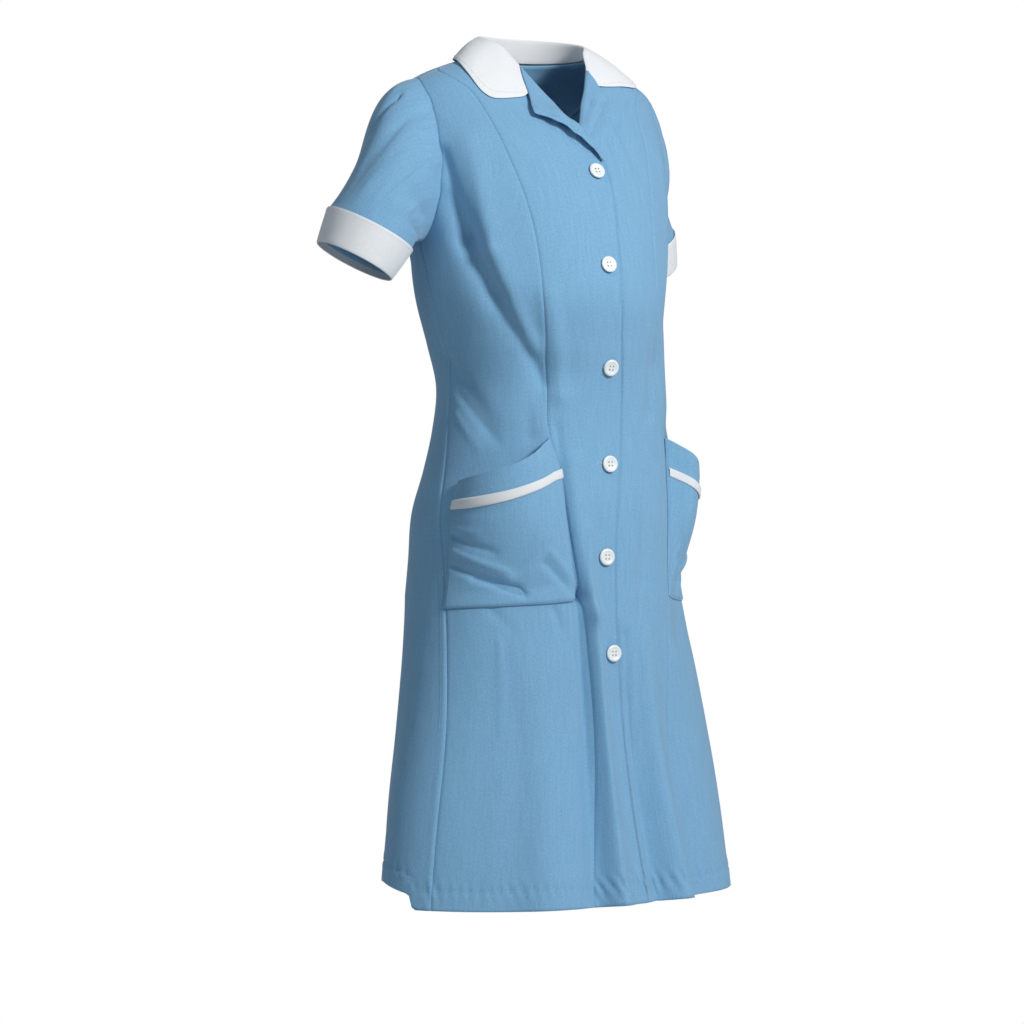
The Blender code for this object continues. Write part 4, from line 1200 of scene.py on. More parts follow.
@dataclass
class BodyPanel:
    """One panel of the dress body with its seams, hem and small wrinkles."""

    name: str
    grid: Array
    first: Border
    last: Border
    material: bpy.types.Material
    under: Array | float = 0.0
    turned: tuple[float, float] = (0.0004, 0.0012)
    groove: tuple[float, float] = (0.0011, 0.0016)
    fell_height: float = 0.0005
    fell_width: float = 0.0070
    hem_depth: float = 0.022
    hem_radius: float = 0.19
    band_height: float = 0.0007
    hem_groove: tuple[float, float] = (0.0006, 0.0020)
    pucker_height: float = 0.0011
    pucker_pitch: float = 0.0105
    pucker_reach: float = 0.011
    slub_height: float = 0.00020
    slub_top: float = -0.55
    seed: int = 5

    def border_relief(self, distance: Array, border: Border) -> Array:
        """Height of the cloth over its border: a turned edge, a sewn groove or a felled ridge.

        Args:
            distance: Metres from the border.
            border: How it is sewn.

        Returns:
            Heights above the cloth.
        """
        depth, width = self.turned if border is Border.FOLDED else self.groove
        relief = -depth * np.exp(-(distance / width)**2)
        if border is Border.FELLED:
            rise = np.clip(distance / 0.0016, 0, 1)
            fall = np.clip((self.fell_width - distance) / 0.0014, 0, 1)
            relief += self.fell_height * rise * fall
        return relief

    def hem_relief(self, around: Array, above: Array) -> Array:
        """Height of the turned hem: its thicker band, its sewn groove and its puckers.

        Args:
            around: Metres round the dress.
            above: Metres above the hem.

        Returns:
            Heights above the cloth.
        """
        edge = above - self.hem_depth
        depth, width = self.hem_groove
        sway = 2.5 * Slub(11, (0.03, 0.05)).at(around, above)
        pucker = np.sin((around + 0.35 * edge) / self.pucker_pitch * math.tau + sway)
        return (self.band_height * np.clip(-edge / 0.0015, 0, 1)
                - depth * np.exp(-(edge / width)**2)
                + self.pucker_height * pucker * np.exp(-(edge / self.pucker_reach)**2))

    def relief(self, plain: Array) -> Array:
        """Everything that lies on the folded form: borders, hem and slubby wrinkles.

        Args:
            plain: The panel's points without folds.

        Returns:
            Heights above the cloth.
        """
        run = run_along(plain, 1)
        total = self.border_relief(run, self.first)
        total += self.border_relief(run[:, -1:] - run, self.last)
        degrees, height = self.grid[..., 0], self.grid[..., 1]
        around = np.radians(degrees) * self.hem_radius
        total += self.hem_relief(around, height - hem_height(degrees))
        skirt = np.clip((self.slub_top - height) / 0.25, 0.15, 1)
        slub = Slub(self.seed, (0.0075, 0.070)).at(around, height)
        broad = Slub(self.seed + 1, (0.020, 0.110)).at(around, height)
        return total + self.slub_height * skirt * (slub + 1.6 * broad)

    def build(self) -> None:
        degrees, height = self.grid[..., 0], self.grid[..., 1]
        relief = self.relief(FORM.plain(degrees, height))
        points = FORM.cloth(degrees, height, relief + self.under)
        sheet = ClothSheet(self.name + "_cloth", points, self.material, BLUE_SLOT,
                           body_facing(points, len(points) * 2 // 3))
        sheet.declare(self.nodes())

    def nodes(self) -> list[str]:
        """The solids that the panel stands for: two where it reaches from shoulder to hem."""
        if self.name.startswith("front"):
            return [self.name]
        return [self.name + "_bodice", self.name + "_skirt"]


def lap_lines(height: Array) -> tuple[Array, Array]:
    """Degrees of the right front's edge and of the left front's edge at each height.

    Args:
        height: Heights.

    Returns:
        The right front's edge and the left front's.
    """
    upper = height >= ROLL_END
    right = np.where(upper, -straight_degrees(ROLL, height), seam_degrees(FRONT_EDGE, height))
    left = np.where(upper, straight_degrees(ROLL, height), -seam_degrees(UNDERLAP, height))
    return right, left


@dataclass
class Bodice:
    """The seven panels that go round the body."""

    wardrobe: Wardrobe
    front_columns: int = 96
    side_front_columns: int = 62
    side_back_columns: int = 50
    back_columns: int = 96
    stitches: int = 500
    hem_stitch: float = 0.0215
    side_stitch: float = 2.1

    def panel(self, name: str, grid: Array, first: Border, under: Array | float = 0.0) -> None:
        """Lays a panel whose last border is a plain seam."""
        BodyPanel(name, grid, first, Border.SEAM, self.wardrobe.blue, under).build()

    def sunk(self, grid: Array) -> Array:
        """How far the left front stands back where the right one covers it.

        Args:
            grid: Degrees and height of each point.

        Returns:
            Distances, negative inwards.
        """
        past = np.radians(grid[..., 0] - lap_lines(grid[..., 1])[0]) * GIRTH_RADIUS
        fallen = np.clip((LAP_SKIRT - grid[..., 1]) / LAP_FADE, 0, 1)
        clear = LAP_CLEAR[1] + LAP_WIDER * fallen
        share = np.clip((clear - past) / (clear - LAP_CLEAR[0]), 0, 1)
        return -(LAP_DROP + LAP_DEEPER * fallen) * share

    def front(self, side: Side) -> None:
        """A centre front, from the roll and the front edge to the princess seam.

        Args:
            side: The dress's own side.
        """
        height = row_heights(NECK)
        right_edge, left_edge = lap_lines(height)
        first = np.stack([left_edge if side is Side.LEFT else right_edge, height], -1)
        last = seam_rows(PRINCESS[side.value], SHOULDER_SPLIT, side)
        maker = PanelGrid(first, last, self.front_columns)
        share = maker.shares()[0]
        neck_start = straight_degrees(ROLL, NECK)
        top = np.stack([
            side.value * (neck_start + (90 - neck_start) * np.clip(share / NECK_SHARE, 0, 1)),
            NECK + (SHOULDER_SPLIT - NECK) * np.clip((share - NECK_SHARE) / (1 - NECK_SHARE), 0, 1),
        ], -1)
        grid = lift_top(maker.grid(), top)
        self.panel("front_" + side.word, grid, Border.FOLDED,
                   self.sunk(grid) if side is Side.LEFT else 0.0)

    def side_front(self, side: Side) -> None:
        """A side front, from the princess seam to the armhole and the side seam."""
        seam = seam_rows(PRINCESS[side.value], SHOULDER_SPLIT, side)
        grid = PanelGrid(seam, side_rows(side, 1), self.side_front_columns).grid()
        self.panel("side_front_" + side.word, grid, Border.SEAM)

    def side_back(self, side: Side) -> None:
        """A side back, from the armhole and the side seam to the back seam."""
        seam = seam_rows(BACK_SEAM, SHOULDER_SPLIT, side)
        grid = PanelGrid(side_rows(side, -1), seam, self.side_back_columns).grid()
        self.panel("side_back_" + side.word, raised_hem(grid), Border.FELLED)

    def back(self) -> None:
        """The centre back, between the back seams."""
        left = seam_rows(BACK_SEAM, SHOULDER_SPLIT, Side.LEFT)
        maker = PanelGrid(left, left * (-1, 1) + (360.0, 0), self.back_columns)
        across = 2 * maker.shares()[0] - 1
        share = 1 - np.abs(across)
        out = np.clip((share - BACK_SHOULDER_SHARE) / (1 - BACK_SHOULDER_SHARE), 0, 1)
        top = np.stack([
            180.0 + 90.0 * np.sign(across) * (1 - out),
            SHOULDER_SPLIT + (NECK - SHOULDER_SPLIT) * np.clip(share / BACK_SHOULDER_SHARE, 0, 1),
        ], -1)
        self.panel("back", raised_hem(lift_top(maker.grid(), top)), Border.SEAM)

    def build(self) -> None:
        """Makes every panel."""
        for side in Side:
            self.front(side)
            self.side_front(side)
            self.side_back(side)
        self.back()

    def stitch(self) -> None:
        """Sews the hem and tops the side seams with a line of stitches."""
        hem = StitchRun("hem_stitching", self.wardrobe.blue_thread, BLUE_SLOT)
        degrees = np.linspace(-180, 180, self.stitches)
        height = hem_height(degrees) + self.hem_stitch
        hem.add(FORM.cloth(degrees, height, 0.0003), FORM.out(degrees, height))
        hem.build()
        sides = StitchRun("side_seam_stitching", self.wardrobe.blue_thread, BLUE_SLOT)
        for side in Side:
            height = np.linspace(ARMPIT - 0.004, HEM + 0.002, 260)
            degrees = side.value * (seam_degrees(SIDE, height) + self.side_stitch)
            sides.add(FORM.cloth(degrees, height, 0.0012), FORM.out(degrees, height))
        sides.build()


# ---------------------------------------------------------------------------------------------
# Sleeves and cuffs
# ---------------------------------------------------------------------------------------------


@dataclass
class Sleeve:
    """A short set-in sleeve with its turned-up white band."""

    side: Side
    wardrobe: Wardrobe
    turns: int = 160
    runs: int = 74
    length: float = 0.20
    start_inside: float = 0.0022
    seam_depth: float = 0.0007
    seam_width: float = 0.0022
    ridge_height: float = 0.0005
    ridge_place: float = 0.0055
    ridge_width: float = 0.0030
    wrinkle: float = 0.0004

    def frame(self) -> tuple[Array, Array, Array, Array]:
        """Foot and axes of the cuff.

        Returns:
            Foot, axis, outward direction and forward direction.
        """
        foot, axis, outward = (np.array(part) for part in SLEEVE_ENDS[self.side.value])
        axis = unit(axis)
        outward = unit(outward - axis * np.dot(outward, axis))
        forward = np.cross(axis, outward) * -self.side.value
        return foot, axis, outward, forward if forward[1] <= 0 else -forward

    def ring(self, angle: Array, drop: float, out: float = 0.0) -> Array:
        """Points round the cuff at a distance below its top.

        Args:
            angle: Angles round it.
            drop: Distance below its top.
            out: Distance out of it.

        Returns:
            The points.
        """
        foot, axis, outward, forward = self.frame()
        share = drop / CUFF_DEPTH
        half = [top + (low - top) * share + out for top, low in zip(CUFF_TOP, CUFF_FOOT)]
        return (foot - axis * (CUFF_DEPTH - drop) + np.cos(angle)[:, None] * half[0] * outward
                + np.sin(angle)[:, None] * half[1] * forward)

    def rings(self) -> Array:
        """Rings of the sleeve from the armhole to its end inside the cuff.

        Returns:
            A row of points for each ring.
        """
        side = self.side.value
        angle = np.linspace(0, math.tau, self.turns + 1)
        hole = armhole(angle) * (side, 1)
        start = FORM.cloth(hole[:, 0], hole[:, 1])
        normal = FORM.out(hole[:, 0], hole[:, 1])
        end = self.ring(angle, 0.0)
        length = np.linalg.norm(end - start, axis=1, keepdims=True)
        reach = (end - start) / length
        outer = np.clip(np.cos(angle), 0, 1)[:, None]
        at_top, at_foot, upward = SLEEVE_LEAVE[side]
        outward = at_foot + (at_top - at_foot) * (1 + np.cos(angle)[:, None]) / 2
        leave = unit(reach + outward * normal + outer * (0, 0, upward))
        axis, outside = self.frame()[1:3]
        arrive = unit(axis + 0.3 * reach + SLEEVE_FLARE * outer * outside)
        rings = [start - self.start_inside * normal]
        for t in np.linspace(0, 1, self.runs + 1):
            dip = SLEEVE_DIP[side] * math.sin(math.pi * t**1.4)**2 * outer * outside
            rings.append((2 * t**3 - 3 * t**2 + 1) * start + (3 * t**2 - 2 * t**3) * end
                         + (t**3 - 2 * t**2 + t) * length * leave + (t**3 - t**2) * length * arrive
                         - dip)
        for drop in np.linspace(0, SLEEVE_TUCK, 6)[1:]:
            rings.append(self.ring(angle, drop))
        return np.array(rings)

    def sleeve(self) -> None:
        """The sleeve with its creases and its sewn armhole."""
        points = self.rings()
        angle = np.linspace(0, math.tau, self.turns + 1)
        turn = (angle + math.pi) % math.tau - math.pi
        run = np.linspace(0, 1, len(points))
        creases = bump_lines(SLEEVE_CREASES[self.side.value], turn[None, :], run[:, None])
        metres = run[:, None] * self.length
        creases -= self.seam_depth * np.exp(-(metres / self.seam_width)**2)
        creases += self.ridge_height * np.exp(-((metres - self.ridge_place) / self.ridge_width)**2)
        wrinkles = Slub(17, (0.10, 0.05)).at(turn[None, :], metres)
        creases += self.wrinkle * wrinkles * np.sin(math.pi * run)[:, None]
        wrapped = np.concatenate([points[:, -2:-1], points, points[:, 1:2]], axis=1)
        along = np.gradient(wrapped, axis=1)[:, 1:-1]
        normal = unit(np.cross(np.gradient(points, axis=0), along))
        centre = points.mean(axis=1, keepdims=True)
        normal *= np.sign(np.sum(normal * (points - centre), axis=(1, 2)))[:, None, None]
        points = points + creases[..., None] * normal
        points[:, -1] = points[:, 0]
        sheet = ClothSheet(f"sleeve_{self.side.word}_cloth", points, self.wardrobe.blue,
                           BLUE_SLOT, ring_facing(points), ring=True)
        sheet.declare(["sleeve_" + self.side.word])

    def cuff(self) -> None:
        """The white band, rounded over at its fold and its top edge."""
        angle = np.linspace(0, math.tau, 97)
        profile = [
            # drop, out
            (0.0000, 0.0000), (0.0004, 0.0004), (0.0020, 0.0006), (0.0120, 0.0007),
            (0.0210, 0.0008), (0.0300, 0.0007), (0.0400, 0.0006), (0.0416, 0.0003),
            (0.0420, -0.0002),
        ]
        rings = np.array([self.ring(angle, drop, CUFF_CLEAR - 0.0003 + out)
                          for drop, out in profile])
        wave = Slub(23, (0.35, 0.02)).at((angle + math.pi) % math.tau - math.pi, angle * 0)
        rings += self.wrinkle * wave[None, :, None] * self.frame()[2]
        rings[:, -1] = rings[:, 0]
        sheet = ClothSheet(f"cuff_{self.side.word}_cloth", rings, self.wardrobe.white,
                           WHITE_SLOT, ring_facing(rings), wall=0.0018, ring=True, smoothing=1)
        sheet.declare(["cuff_" + self.side.word])

    def stitch(self) -> None:
        """Stitches near the cuff's top edge."""
        run = StitchRun(f"cuff_{self.side.word}_stitching", self.wardrobe.white_thread, WHITE_SLOT)
        angle = np.linspace(0, math.tau, 180)
        points = self.ring(angle, 0.0030, CUFF_CLEAR + 0.0013)
        run.add(points, points - self.ring(angle, 0.0030, 0.0))
        run.build()

    def build(self) -> None:
        """Makes the sleeve, its cuff and their stitches."""
        self.sleeve()
        self.cuff()
        self.stitch()


# ---------------------------------------------------------------------------------------------
# Collar and lapels
# ---------------------------------------------------------------------------------------------


def roll_curl(side: Side, heights: Array) -> Array:
    """Columns of points where cloth turned out over the roll stands: beyond, on and over it.

    Args:
        side: The dress's own side.
        heights: Heights along the roll.

    Returns:
        Three columns of points.
    """
    sign = side.value
    degrees = sign * straight_degrees(ROLL, heights)
    point = FORM.cloth(degrees, heights)
    above, below = (FORM.cloth(sign * straight_degrees(ROLL, place), place)
                    for place in (heights + CURL_STEP, heights - CURL_STEP))
    normal = FORM.out(degrees, heights)
    inward = unit(np.cross(above - below, normal)) * sign
    return np.stack([point + beyond * inward + out * normal for beyond, out in ROLL_CURL], 1)



def gorge_line(side: Side, columns: int, aside: float) -> Array:
    """Points of the seam between lapel and collar, from the roll to the notch.

    Args:
        side: The dress's own side.
        columns: How many points follow the roll.
        aside: Distance by which the line is moved towards the collar.

    Returns:
        The points.
    """
    sign = side.value
    roll_height, edge_degrees, edge_height, lift = LAPEL[side.value][0]
    share = np.linspace(0, 1, columns + 1)
    degrees = sign * (straight_degrees(ROLL, roll_height) * (1 - share) + edge_degrees * share)
    height = roll_height * (1 - share) + edge_height * share
    out = ROLL_CURL[-1][1] * (1 - share) + lift * share
    point = FORM.cloth(degrees, height, out)
    across = unit(np.cross(FORM.out(degrees, height), np.gradient(point, axis=0)))
    return (point + across * aside * sign)[1:]


@dataclass
class Neckline:
    """The lapels and the collar."""

    wardrobe: Wardrobe
    lapel_columns: int = 14
    lapel_steps: int = 6
    stations: int = 32
    fall_columns: int = 11

    def lapel_rows(self, side: Side) -> Array:
        """The lapel's table read in finer rows, with its corner kept.

        Args:
            side: The dress's own side.

        Returns:
            Rows with the table's columns.
        """
        table = LAPEL[side.value]
        index = np.arange(len(table), dtype=float)
        fine = np.linspace(0, len(table) - 1, (len(table) - 1) * self.lapel_steps + 1)
        upper = np.stack([np.interp(fine, index, table[:, k]) for k in range(4)], -1)
        lower = smooth_rows(np.column_stack([index, table])[LAPEL_CORNER:], fine)
        return np.where((fine <= LAPEL_CORNER)[:, None], upper, lower)

    def lapel(self, side: Side) -> None:
        """A turned-back facing, from the roll to its outer edge.

        Args:
            side: The dress's own side.
        """
        rows = self.lapel_rows(side)
        curl = roll_curl(side, rows[:, 0] - 0.0003)
        share = np.linspace(0, 1, self.lapel_columns + 1)[1:]
        near = 1 - share
        degrees = straight_degrees(ROLL, rows[:, :1]) * near + rows[:, 1:2] * share
        height = rows[:, :1] * near + rows[:, 2:3] * share
        arch = 0.0016 * np.sin(math.pi * share)
        out = ROLL_CURL[-1][1] * near + rows[:, 3:4] * share + arch
        fall = FORM.cloth(side.value * degrees, height, out)
        fall[0] = gorge_line(side, self.lapel_columns, -0.0003)
        points = np.concatenate([curl, fall], axis=1)
        sheet = ClothSheet(f"lapel_{side.word}_cloth", points, self.wardrobe.blue, BLUE_SLOT,
                           float(-side.value), smoothing=1)
        sheet.declare(["lapel_" + side.word])
        self.stitch_edge(f"lapel_{side.word}_stitching", points[3:, -3], points[3:, -6],
                         points[3:, -1], self.wardrobe.blue_thread, BLUE_SLOT)

    def collar_half(self, side: Side) -> Array:
        """Rows of the collar from the centre back to one side's front end.

        Args:
            side: The dress's own side.

        Returns:
            Rows of points, each from the foot of the stand over the roll to the edge.
        """
        sign = side.value
        share = np.linspace(0, 1, self.stations + 1)
        edge = smooth_rows(COLLAR_EDGE[sign], share)
        roll = smooth_rows(COLLAR_ROLL, share)
        roll[:, 2] += TILT * sign * roll[:, 0]
        ring = share < STAND_SHARE
        degrees = 180.0 - (180.0 - straight_degrees(ROLL, NECK)) * share / STAND_SHARE
        foot = FORM.cloth(sign * degrees, NECK) + (0, 0, STAND_CLEAR)
        past = (share - STAND_SHARE) / (1 - STAND_SHARE)
        seam_height = NECK + (LAPEL[sign][0, 0] - NECK) * past
        curl = roll_curl(side, np.minimum(seam_height, NECK - CURL_STEP))
        foot[~ring] = curl[~ring, 0]
        foot[share == STAND_SHARE] += (0, 0, STAND_CLEAR + CURL_STEP)
        top = roll * (sign, 1, 1)
        blend = np.clip(past, 0, 1)[:, None]**2
        top = top * (1 - blend) + curl[:, 2] * blend
        middle = (foot + top) / 2 * (1 - blend) + curl[:, 1] * blend
        edge_height = FORM.over(edge[:, 0] * sign, edge[:, 1]) + COLLAR_LIFT
        fall = []
        for w in np.linspace(0, 1, self.fall_columns + 1)[1:]:
            plan = top[:, :2] * (1 - w) + edge * (sign, 1) * w
            floor = FORM.over(plan[:, 0], plan[:, 1])
            line = top[:, 2] * (1 - w) + edge_height * w + COLLAR_ARCH * math.sin(math.pi * w)
            fall.append(np.column_stack([plan, np.maximum(line, floor + COLLAR_LIFT)]))
        fall = np.stack(fall, 1)
        fall[-1] = gorge_line(side, self.fall_columns, 0.0003)
        return np.concatenate([np.stack([foot, middle, top], 1), fall], axis=1)

    def collar(self) -> None:
        """The white collar in one piece: stand, roll and fall, with its two rounded tips."""
        right = self.collar_half(Side.RIGHT)[::-1]
        points = np.concatenate([right, self.collar_half(Side.LEFT)[1:]])
        upward = facing(points, len(points) // 2, points.shape[1] - 4, np.array((0, 0, 1)))
        sheet = ClothSheet("collar_cloth", points, self.wardrobe.white, WHITE_SLOT, upward,
                           wall=0.0016, smoothing=2)
        sheet.declare(["collar"])
        self.stitch_edge("collar_stitching", points[1:-1, -2], points[1:-1, -5], points[1:-1, -1],
                         self.wardrobe.white_thread, WHITE_SLOT, 0.0013)

    def stitch_edge(self, name: str, path: Array, inner: Array, edge: Array,
                    material: bpy.types.Material, slot: str, above: float = 0.0009) -> None:
        """Stitches along an edge, on the upper face of a folded piece.

        Args:
            name: The piece's name.
            path: The stitches' path.
            inner: Points further in.
            edge: Points on the edge.
            material: The thread.
            slot: The record's material slot; not used.
            above: How far the stitches stand above the path.
        """
        along = np.gradient(path, axis=0)
        normal = unit(np.cross(along, edge - inner))
        normal *= np.where(normal[:, 2] < normal[:, 1], -1.0, 1.0)[:, None]
        run = StitchRun(name, material, slot)
        run.add(path + normal * above, normal)
        run.build()

    def build(self) -> None:
        """Makes both lapels and the collar."""
        for side in Side:
            self.lapel(side)
        self.collar()


# ---------------------------------------------------------------------------------------------
# Pockets
# ---------------------------------------------------------------------------------------------


@dataclass
class PatchPocket:
    """A slanted patch pocket that stands open, with a white braid along its top."""

    side: Side
    wardrobe: Wardrobe
    columns: int = 60
    rows: int = 66
    width: float = 0.14
    height: float = 0.15
    tuck_depth: float = 0.0019
    tuck_width: float = 0.0020
    fold_height: float = 0.0005
    fold_share: float = 0.115
    fade_share: float = 0.05
    edge_shares: tuple[float, float] = (0.03, 0.972)
    stitch_lift: float = 0.0010
    braid_stitch_lift: float = 0.0031
    braid_stitch_lines: tuple[float, float] = (0.0014, 0.0086)

    def place(self, share: Array, height: Array) -> tuple[Array, Array]:
        """Points and normals of the side front under the pocket.

        Args:
            share: Share across the pocket, from its outer edge inwards.
            height: Heights on the panel.

        Returns:
            The cloth's points and its outward normals there.
        """
        seam, table = PRINCESS[self.side.value], POCKET[self.side.value]
        middle = (table[0, 1] + table[0, 2]) / 2
        inner, outer = seam_degrees(seam, middle + 0.03), seam_degrees(SIDE, middle)
        outer_share = (POCKET_OUTER - inner) / (outer - inner)
        panel = outer_share + (POCKET_INNER - outer_share) * share
        princess = seam_degrees(seam, height)
        degrees = self.side.value * (princess + (seam_degrees(SIDE, height) - princess) * panel)
        return FORM.cloth(degrees, height), FORM.out(degrees, height)

    def line(self, share: Array) -> tuple[Array, Array, Array]:
        """Top height, foot height and gape at each share."""
        values = smooth_rows(POCKET[self.side.value], share)
        return values[..., 0], values[..., 1], np.maximum(values[..., 2], 0)

    def surface(self, share: Array, down: Array, out: float = 0.0) -> Array:
        """Points of the pocket.

        Args:
            share: Shares across it, from its outer edge.
            down: Shares down it.
            out: Distance out of it.

        Returns:
            The points.
        """
        top, foot, gape = self.line(share)
        height = top + (foot - top) * down
        inwards, outwards = POCKET_SLANT[self.side.value]
        base, normal = self.place(share + (1 - share) * (inwards - outwards * down), height)
        settled = np.clip(down / POCKET_SETTLED, 0, 1)
        lift = POCKET_LIFT[self.side.value] + gape * np.cos(settled * math.pi / 2)
        lift = lift + bump_lines(POCKET_CREASES, share, down) * self.open_field(share, down) + out
        return base + normal * lift[..., None]

    def open_field(self, share: Array, down: Array) -> Array:
        """Fades creases out at the sewn edges."""
        aside = np.clip(np.minimum(share, 1 - share) / self.fade_share, 0, 1)
        return aside * np.clip((1 - down) / self.fade_share, 0, 1)

    def build(self) -> None:
        """Lays the pocket, its braid and its stitches."""
        share = np.concatenate([[0, 0.006, 0.014, 0.024], np.linspace(0.04, 0.96, self.columns),
                                [0.976, 0.986, 0.994, 1.0]])
        down = np.concatenate([[0, 0.006, 0.014], np.linspace(0.03, 0.97, self.rows),
                               [0.98, 0.990, 1.0]])
        grid_share, grid_down = np.meshgrid(share, down)
        edge = np.minimum(np.minimum(grid_share, 1 - grid_share) * self.width,
                          (1 - grid_down) * self.height)
        tuck = -self.tuck_depth * np.exp(-(edge / self.tuck_width)**2)
        fold = self.fold_height * np.clip((self.fold_share - grid_down) / 0.01, 0, 1)
        points = self.surface(grid_share, grid_down, tuck + fold)
        word = self.side.word
        sheet = ClothSheet(f"pocket_{word}_cloth", points, self.wardrobe.blue, BLUE_SLOT,
                           body_facing(points, len(points) // 2))
        sheet.declare(["pocket_" + word])
        self.braid()
        self.stitch()

    def trim_down(self, share: Array, extra: float) -> Array:
        """Share down the pocket of a line below the braid's top edge."""
        top, foot, _ = self.line(share)
        drop = TRIM_DROP[0] + (TRIM_DROP[1] - TRIM_DROP[0]) * share + extra
        return drop / (top - foot)

    def braid(self) -> None:
        """The white braid, slightly crowned, with its ends turned under."""
        share = np.linspace(0.0, 1.0, 120)
        profile = [
            # below the braid's top edge, above the pocket
            (0.0000, 0.0010), (0.0004, 0.0018), (0.0014, 0.0021), (0.0032, 0.0022),
            (0.0050, 0.0022), (0.0068, 0.0022), (0.0086, 0.0021), (0.0096, 0.0018),
            (0.0100, 0.0010),
        ]
        points = np.array([self.surface(share, self.trim_down(share, below), height + 0.0004)
                           for below, height in profile])
        word = self.side.word
        sheet = ClothSheet(f"pocket_trim_{word}_braid", points, self.wardrobe.braid, WHITE_SLOT,
                           body_facing(points, len(points) // 2), wall=0.0010)
        sheet.declare(["pocket_trim_" + word])

    def stitch(self) -> None:
        """Stitches down the pocket's sewn edges and along the braid."""
        blue = StitchRun(f"pocket_{self.side.word}_stitching", self.wardrobe.blue_thread,
                         BLUE_SLOT)
        down = np.linspace(0.01, 0.985, 90)
        for share in self.edge_shares:
            blue.add(*self.on_top(np.full_like(down, share), down, self.stitch_lift))
        share = np.linspace(*self.edge_shares, 90)
        blue.add(*self.on_top(share, np.full_like(share, 0.982), self.stitch_lift))
        blue.build()
        white = StitchRun(f"braid_{self.side.word}_stitching", self.wardrobe.white_thread,
                          WHITE_SLOT, thickness=0.0003)
        share = np.linspace(0.005, 0.995, 90)
        for below in self.braid_stitch_lines:
            white.add(*self.on_top(share, self.trim_down(share, below), self.braid_stitch_lift))
        white.build()

    def on_top(self, share: Array, down: Array, out: float) -> tuple[Array, Array]:
        """Points above the pocket and its outward normals."""
        points = self.surface(share, down, out)
        return points, points - self.surface(share, down, out - 0.001)


# ---------------------------------------------------------------------------------------------
# Buttons
# ---------------------------------------------------------------------------------------------


